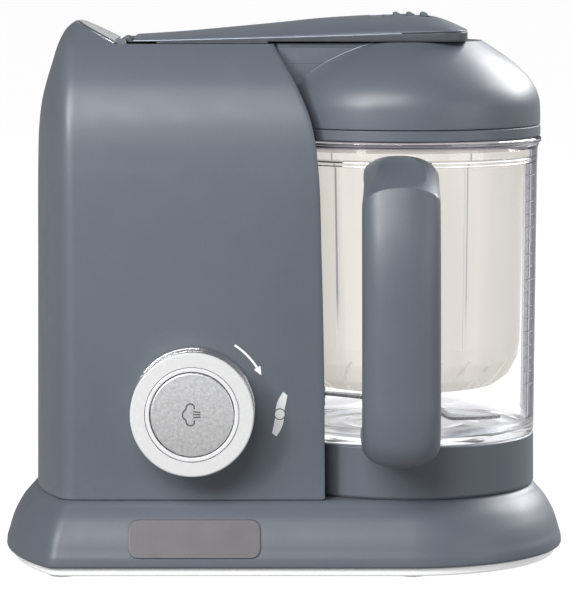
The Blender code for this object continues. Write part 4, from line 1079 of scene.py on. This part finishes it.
def make_level_marks():
    """Short level lines printed on the bowl's wall, a long one at every fourth."""
    for side, middle in (("front", -0.34), ("rear", 2.2)):
        points, faces = [], []
        for k in range(17):
            z = 84.0 + 6.3 * k
            wall = 63.1 + (64.9 - 63.1) * (z - 62.0) / (190.0 - 62.0)
            reach = 0.075 if k % 4 == 0 else 0.04
            rings = []
            for i in range(9):
                angle = middle + reach * (i / 4 - 1)
                rings.append([around_bowl(wall + out, angle, z + up)
                              for out, up in ((0.03, -0.2), (0.14, -0.2), (0.14, 0.2), (0.03, 0.2))])
            line, line_faces = skin(rings)
            faces += [[len(points) + corner for corner in face] for face in line_faces]
            points += line
        settle(add_object("level_marks_" + side, points, faces), "mark", "bowl")


def superellipse(power, steps=72):
    """Points round a rounded rectangle that fits -1 to 1 both ways."""
    found = []
    for k in range(steps):
        c, s = math.cos(TAU * k / steps), math.sin(TAU * k / steps)
        found.append((math.copysign(abs(c) ** (2 / power), c), math.copysign(abs(s) ** (2 / power), s)))
    return found


def make_handle():
    """A loop in front of the bowl: a round-faced grip with an arm to the bowl at each end."""
    shape = superellipse(2.25)
    rings = []
    for y, z, inner_y, inner_z in smooth_line(HANDLE_STATIONS, 110):
        back = min(1.0, max(0.0, (y + 101.0) / 22.0)) if z > 150.0 else 0.0
        x, half = HANDLE_X + 0.8 * back, HANDLE_HALF - 0.6 * back
        outer, inner = Vector((0.0, y, z)), Vector((0.0, inner_y, inner_z))
        middle, across = (outer + inner) / 2, (outer - inner) / 2
        rings.append([Vector((x + u * half, 0.0, 0.0)) + middle + across * v for u, v in shape])
    handle = loft("bowl_handle_grip", rings)
    bowl_side = [(0.0, 205.0), (65.5, 205.0), (65.5, 199.0), (63.3, 62.0), (63.3, 45.0), (0.0, 45.0)]
    cut(handle, lathe("handle_trim", bowl_side, BOWL_AXIS, 160))
    cut(handle, handle_top())
    cut(handle, thumb_hollow())
    settle(handle, "slate", "bowl", "bowl_handle", sharp=40.0)


def top_height(y):
    """Height of the handle's sloping top at its middle."""
    return CREASE[1] + (y - CREASE[0]) * TOP_SLOPE


def handle_top():
    """All that stands above the handle's sloping, round-backed top."""
    rings = []
    for y in (*np.linspace(-125.0, -74.0, 18), -72.0, -70.0, -67.0, -62.0, -40.0):
        height = min(top_height(y), TOP_HIGH - 0.0012 * (y + 62.0) ** 2)
        ring = []
        for k in range(61):
            u = 2 * k / 60 - 1
            wide = abs(u) * 1.35
            share = min(1.0, wide)
            drop = TOP_DROP * (1 - (1 - share ** 2.3) ** (1 / 2.3))
            out = share * 18.7 + 12.0 * max(0.0, wide - 1)
            ring.append((HANDLE_X + 0.5 + math.copysign(out, u), y, height - drop))
        rings.append(ring + [(HANDLE_X + 24.0, y, 240.0), (HANDLE_X - 24.0, y, 240.0)])
    return loft("handle_top", rings)


def thumb_hollow():
    """A shallow oval hollow for the thumb, sunk into the handle's sloping top."""
    wide, long, deep, above = 16.0, 17.6, 4.3, 0.9
    slope = math.atan(TOP_SLOPE)
    y = -82.5
    half = [(wide * math.sin(math.pi * k / 24), deep * math.cos(math.pi * k / 24)) for k in range(25)]
    half[0], half[-1] = (0.0, deep), (0.0, -deep)
    middle = (HANDLE_X + 0.5, y - above * math.sin(slope), top_height(y) + above * math.cos(slope))
    place = Matrix.Translation(Vector(middle) * MM)
    tilt = Matrix.Rotation(slope, 4, "X") @ Matrix.Diagonal((1.0, long / wide, 1.0, 1.0))
    return lathe("thumb_hollow", half, turn=place @ tilt)


def make_blade():
    """An S-shaped steel blade with one raised and one lowered arm, on a black hub."""
    rings = []
    for k in range(-36, 37):
        r = 46.8 * k / 36
        tip = max(0.0, (abs(r) - 10.0) / 37.0)
        z = BLADE_Z + (3.4 * tip if k > 0 else -3.8 * (1 - math.cos(math.pi * min(1.0, 2.3 * tip))))
        turn = math.radians(150.0) + 0.01 * abs(r)
        side = Vector((-math.sin(turn), math.cos(turn))) * 5.4 * (1 - 0.72 * tip**2)
        middle = Vector(around_bowl(r, turn, 0.0)[:2])
        rings.append([(*(middle + side * out), z + up)
                      for out, up in ((1, -0.7), (-1, -0.7), (-1, 0.15), (-0.65, 0.7), (1, 0.7))])
    blade = loft("blade_steel", rings)
    cut(blade, rod("blade_bore", 3.3, 60.0, 80.0, BOWL_AXIS))
    settle(blade, "blade", "blade_unit", "blade")


def make_basket():
    profile = [
        (0.0, 83.2), (36.0, 83.2, 4.0), (43.0, 84.7, 4.0), (49.2, 89.2, 5.0), (53.2, 96.6, 6.0),
        (54.4, 104.0, 4.0), (56.8, 190.0, 2.0), (59.6, 198.0, 0.3), (61.8, 198.0, 0.5),
        (61.8, 194.2, 0.4), (60.0, 193.2, 0.4), (58.6, 191.0, 1.0), (56.3, 104.0, 4.0),
        (55.0, 96.0, 6.0), (50.6, 87.8, 5.0), (44.0, 83.0, 4.0), (36.0, 81.5, 4.0), (0.0, 81.5),
    ]
    basket = lathe("steam_basket_cup", fillet(profile, 5, closed=False), BOWL_AXIS, 144)
    cut(basket, *[basket_slot(TAU * (k + 0.5) / 24) for k in range(24)])
    join(basket, *[basket_rib(math.radians(angle)) for angle in RIB_ANGLES])
    settle(basket, "cream", "basket", "steam_basket")


def beside(angle, out, across, z):
    """A place out along an angle from the bowl's axis and across that line."""
    ahead = Vector((math.cos(angle), math.sin(angle)))
    spot = ahead * out + Vector((-ahead.y, ahead.x)) * across
    return (BOWL_X + spot.x, spot.y, z)


def basket_slot(start):
    """A narrow slot that leans as it rises round the basket's bottom edge."""
    rings = []
    for k in range(9):
        t = k / 8
        near, far, wide = 37.0 + 12.0 * t, 62.0, 0.95
        rings.append([beside(start + 0.16 * t * t, out, across, 78.0 + 20.0 * t)
                      for out, across in ((near, -wide), (far, -wide), (far, wide), (near, wide))])
    return loft("basket_slot", rings)


def basket_rib(angle):
    """A slim upright rib down the outside of the basket."""
    edge = ((-0.8, -0.9), (0.35, -0.7), (0.5, -0.4), (0.5, 0.4), (0.35, 0.7), (-0.8, 0.9))
    return loft("basket_rib", [[beside(angle, r + out, across, z) for out, across in edge]
                               for z, r in ((104.5, 56.35), (110.0, 56.5), (190.0, 58.55))])


# Knob and printed signs


# Knob pieces: (steps round, name, profile, steps in its corners, look, body, CAD node).
KNOB_PIECES = (
    (128, "knob_bezel_ring", [(29.0, 65.2, 0.3), (29.5, 64.5, 0.4), (29.5, 62.9, 0.2), (24.5, 62.9),
                              (24.5, 65.2)], 4, "chrome", "housing", "knob_bezel"),
    (144, "knob_turning_ring", [(22.1, 82.0, 0.2), (28.3, 82.0, 0.5), (28.9, 81.5, 0.4),
                                (28.9, 79.8, 0.3), (28.2, 79.6), (22.1, 79.6)], 5, "white", "knob",
     "knob_ring"),
    (144, "knob_side_sleeve", [(22.1, 79.5), (28.3, 79.5, 0.2), (28.3, 66.4, 0.3), (27.8, 65.6, 0.2),
                               (5.4, 65.6), (5.4, 69.0), (22.1, 69.0)], 4, "chrome", "knob",
     "knob_ring"),
    (128, "knob_inner_collar", [(19.9, 81.7, 0.15), (20.3, 82.0, 0.2), (21.5, 82.0, 0.2),
                                (21.85, 81.7, 0.15), (21.85, 69.3), (19.9, 69.3)], 4, "collar",
     "knob", "knob_collar"),
    (128, "steam_push_button", [(0.0, 81.9), (18.9, 81.9, 0.4), (19.45, 81.4, 0.3), (19.5, 73.0),
                                (17.0, 73.0), (17.0, 80.2), (0.0, 80.2)], 5, "silver", "button",
     "steam_button"),
)


def make_knob():
    front = facing_front(KNOB_X, KNOB_Z)
    for steps, *piece in KNOB_PIECES:
        turned(*piece, centre=(0.0, 0.0), steps=steps, turn=front)
    make_steam_sign()


def stroke(name, path, width, depth, y, look, body):
    """A flat line of even width through (x, z) points, standing proud of a face at y."""
    pts = [Vector(p) for p in path]
    rings = []
    for before, here, after in zip(pts[:1] + pts, pts, pts[1:] + pts[-1:]):
        ahead = (after - before).normalized()
        side = Vector((-ahead.y, ahead.x)) * width / 2
        a, b = here - side, here + side
        rings.append([(a.x, y, a.y), (b.x, y, b.y), (b.x, y - depth, b.y), (a.x, y - depth, a.y)])
    settle(loft(name, rings), look, body)


def make_steam_sign():
    """A small cloud with three short puffs of steam beside it, on the button."""
    x, z, y = KNOB_X, KNOB_Z + 0.1, -81.85
    cloud = arc(x - 0.8, z + 3.2, 1.9, -20, 190, 14) + arc(x - 2.0, z, 2.4, 125, 235, 12)
    cloud += arc(x - 0.8, z - 3.2, 1.9, 170, 380, 14)
    stroke("steam_sign_cloud", cloud, 0.6, 0.22, y, "ink_dark", "button")
    for k, start, end in ((1, 1.45, 1.15), (2, 0.1, 0.1), (3, -1.25, -1.0)):
        puff = [(x + 0.55, z + start), (x + 2.2, z + (start + end) / 2), (x + 4.0, z + end)]
        stroke("steam_sign_puff_%d" % k, puff, 0.55, 0.22, y, "ink_dark", "button")


def body_front(z):
    return -float(smooth_row(BODY_PROFILE, z)[1])


def make_body_signs():
    """A turning arrow and a two-armed blade beside the knob."""
    y = body_front(KNOB_Z + 20.0) + 0.1
    path = arc(KNOB_X, KNOB_Z, 35.9, 57.0, 33.0, 24)
    stroke("turn_arrow_line", path, 0.95, 0.25, y, "ink", "housing")
    tip = Vector(arc(KNOB_X, KNOB_Z, 35.9, 26.5, 26.5, 1)[0])
    root = Vector(path[-1])
    ahead = (tip - root).normalized()
    side = Vector((-ahead.y, ahead.x)) * 1.75
    head = [root - side + ahead * 0.1, tip, root + side + ahead * 0.1, root - ahead * 0.1]
    settle(prism("turn_arrow_head", [tuple(p) for p in head], y - 0.25, y, along="Y"), "ink", "housing")
    y = body_front(KNOB_Z) + 0.1
    centre = Vector((-2.2, KNOB_Z - 2.3))
    for name, way in (("upper", 1), ("lower", -1)):
        left, right = [], []
        for k in range(15):
            t = k / 14
            along = 1.2 + 9.3 * t
            drift = 0.1 + 2.5 * t**1.7
            half = 2.0 - 1.0 * t**2 + 0.2 * math.sin(math.pi * t)
            left.append((centre.x + way * (drift - half), centre.y + way * along))
            right.append((centre.x + way * (drift + half), centre.y + way * (along - 1.7 * t)))
        arm = left + right[::-1]
        settle(prism("blade_sign_" + name, arm, y - 0.22, y, along="Y"), "ink_grey", "housing")
    for name, r, low, high, look in (
        ("rim", 2.75, 0.26, 0.0, "ink_dark"), ("hub", 2.3, 0.32, 0.2, "ink_grey"),
    ):
        disc = prism("blade_sign_" + name, circle(*centre, r), y - low, y - high, along="Y")
        settle(disc, look, "housing")


# CAD nodes that stay


KEPT_LOOKS = {
    "steel": "hinge_pin boiler_tank heating_element motor_stator plug_pin_front plug_pin_rear"
             " knob_spring button_spring motor_shaft drive_shaft blade_shaft",
    "black": "steam_switch blend_switch lid_switch drive_belt strain_relief power_cord plug_body"
             " knob_shaft motor_pulley motor_fan driven_pulley lower_coupling blade_hub upper_coupling",
    # The pale look carries a painted glow.
    "pale": "thermostat motor_bracket",
    "brass": "steam_nozzle drive_bearing",
    "copper": "motor_armature",
    "rubber": "boiler_gasket",
    "board": "control_board",
    "white": "interlock_pin",
}


def dress_kept_nodes():
    """Welds, softens and paints the CAD nodes that are shown as they are."""
    kept = [(node, look) for look, nodes in KEPT_LOOKS.items() for node in nodes.split()]
    for node, look in kept:
        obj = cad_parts[node]
        attributes = obj.data.attributes
        if "custom_normal" in attributes:
            attributes.remove(attributes["custom_normal"])
        give_look(obj, look)
        obj.modifiers.new("Weld", "WELD").merge_threshold = 0.00001
        edges = obj.modifiers.new("Edges", "BEVEL")
        edges.width = 0.00015
        edges.segments = 2
        edges.limit_method = "ANGLE"
        edges.angle_limit = math.radians(50)
        even_shading(obj)


# Stage


def make_stage():
    """A wide floor, white to the eye and dim for what it lights."""
    g = paint("floor_pale")
    tone = g.mix_colour(g.noise(1.5, 2.0), (0.93, 0.93, 0.93), (0.96, 0.96, 0.96))
    glow = g.add("ShaderNodeEmission", Color=PURE_WHITE, Strength=1.08)
    matt = g.add("ShaderNodeBsdfDiffuse", Color=tone)
    shown = g.mix_shader(0.10, glow, matt)
    dim = g.add("ShaderNodeEmission", Color=PURE_WHITE, Strength=FLOOR_GLOW)
    material = g.finish(g.mix_shader(g.seen(), dim, shown))
    half, z = 30000.0, -0.2
    corners = [(-half, -half, z), (half, -half, z), (half, half, z), (-half, half, z)]
    floor = add_object("floor", corners, [(0, 1, 2, 3)])
    floor.data.materials.append(material)


def make_world():
    """White to the eye, and dim for what it lights, fading upwards."""
    world = bpy.data.worlds.new("studio")
    bpy.context.scene.world = world
    g = Graph(world, "ShaderNodeOutputWorld", "Generated")
    glow = g.spread(g.height(), WORLD_GLOW, WORLD_GLOW * 0.15, 0.25, 0.95)
    dim = g.add("ShaderNodeBackground", Color=(0.97, 0.985, 1.0), Strength=glow)
    bright = g.add("ShaderNodeBackground", Color=PURE_WHITE, Strength=0.99)
    g.finish(g.mix_shader(g.seen(), dim, bright))


def soft_light(name, azimuth, elevation, distance, size, power):
    """A softbox aimed at the object."""
    data = bpy.data.lights.new(name, "AREA")
    data.shape = "RECTANGLE"
    data.size, data.size_y = size
    data.energy = power
    light = bpy.data.objects.new(name, data)
    a, e = math.radians(azimuth), math.radians(elevation)
    aim = Vector((0.0, 0.0, 0.15))
    back = Vector((math.sin(a) * math.cos(e), -math.cos(a) * math.cos(e), math.sin(e)))
    light.location = aim + back * distance
    light.rotation_euler = (-back).to_track_quat("-Z", "Y").to_euler()
    bpy.context.scene.collection.objects.link(light)


def make_camera():
    data = bpy.data.cameras.new("camera")
    data.lens = CAMERA_LENS
    data.sensor_width = 36.0
    data.clip_end = 100.0
    camera = bpy.data.objects.new("camera", data)
    camera.location = CAMERA_PLACE
    camera.rotation_euler = (math.pi / 2, 0.0, 0.0)
    bpy.context.scene.collection.objects.link(camera)
    bpy.context.scene.camera = camera
    shift_at_front(camera, "shift_x", CAMERA_SHIFT[0])
    shift_at_front(camera, "shift_y", CAMERA_SHIFT[1])


def shift_at_front(camera, path, value):
    """The lens shift holds where the camera stands for the front picture, and is none elsewhere."""
    driver = camera.data.driver_add(path).driver
    driver.type = "SCRIPTED"
    for name, kind in (("x", "LOC_X"), ("y", "LOC_Y")):
        variable = driver.variables.new()
        variable.name = name
        variable.type = "TRANSFORMS"
        variable.targets[0].id = camera
        variable.targets[0].transform_type = kind
        variable.targets[0].transform_space = "WORLD_SPACE"
    near = "abs(x) < 0.001 and abs(y - %.4f) < 0.001" % CAMERA_PLACE[1]
    driver.expression = "%.5f if %s else 0.0" % (value, near)


make_base()
make_body()
make_arm()
make_slider()
make_lid()
make_bowl()
make_knob()
make_body_signs()
dress_kept_nodes()
make_stage()
make_world()
for light in LIGHTS:
    soft_light(*light)
make_camera()
bpy.context.scene.view_settings.view_transform = "Standard"
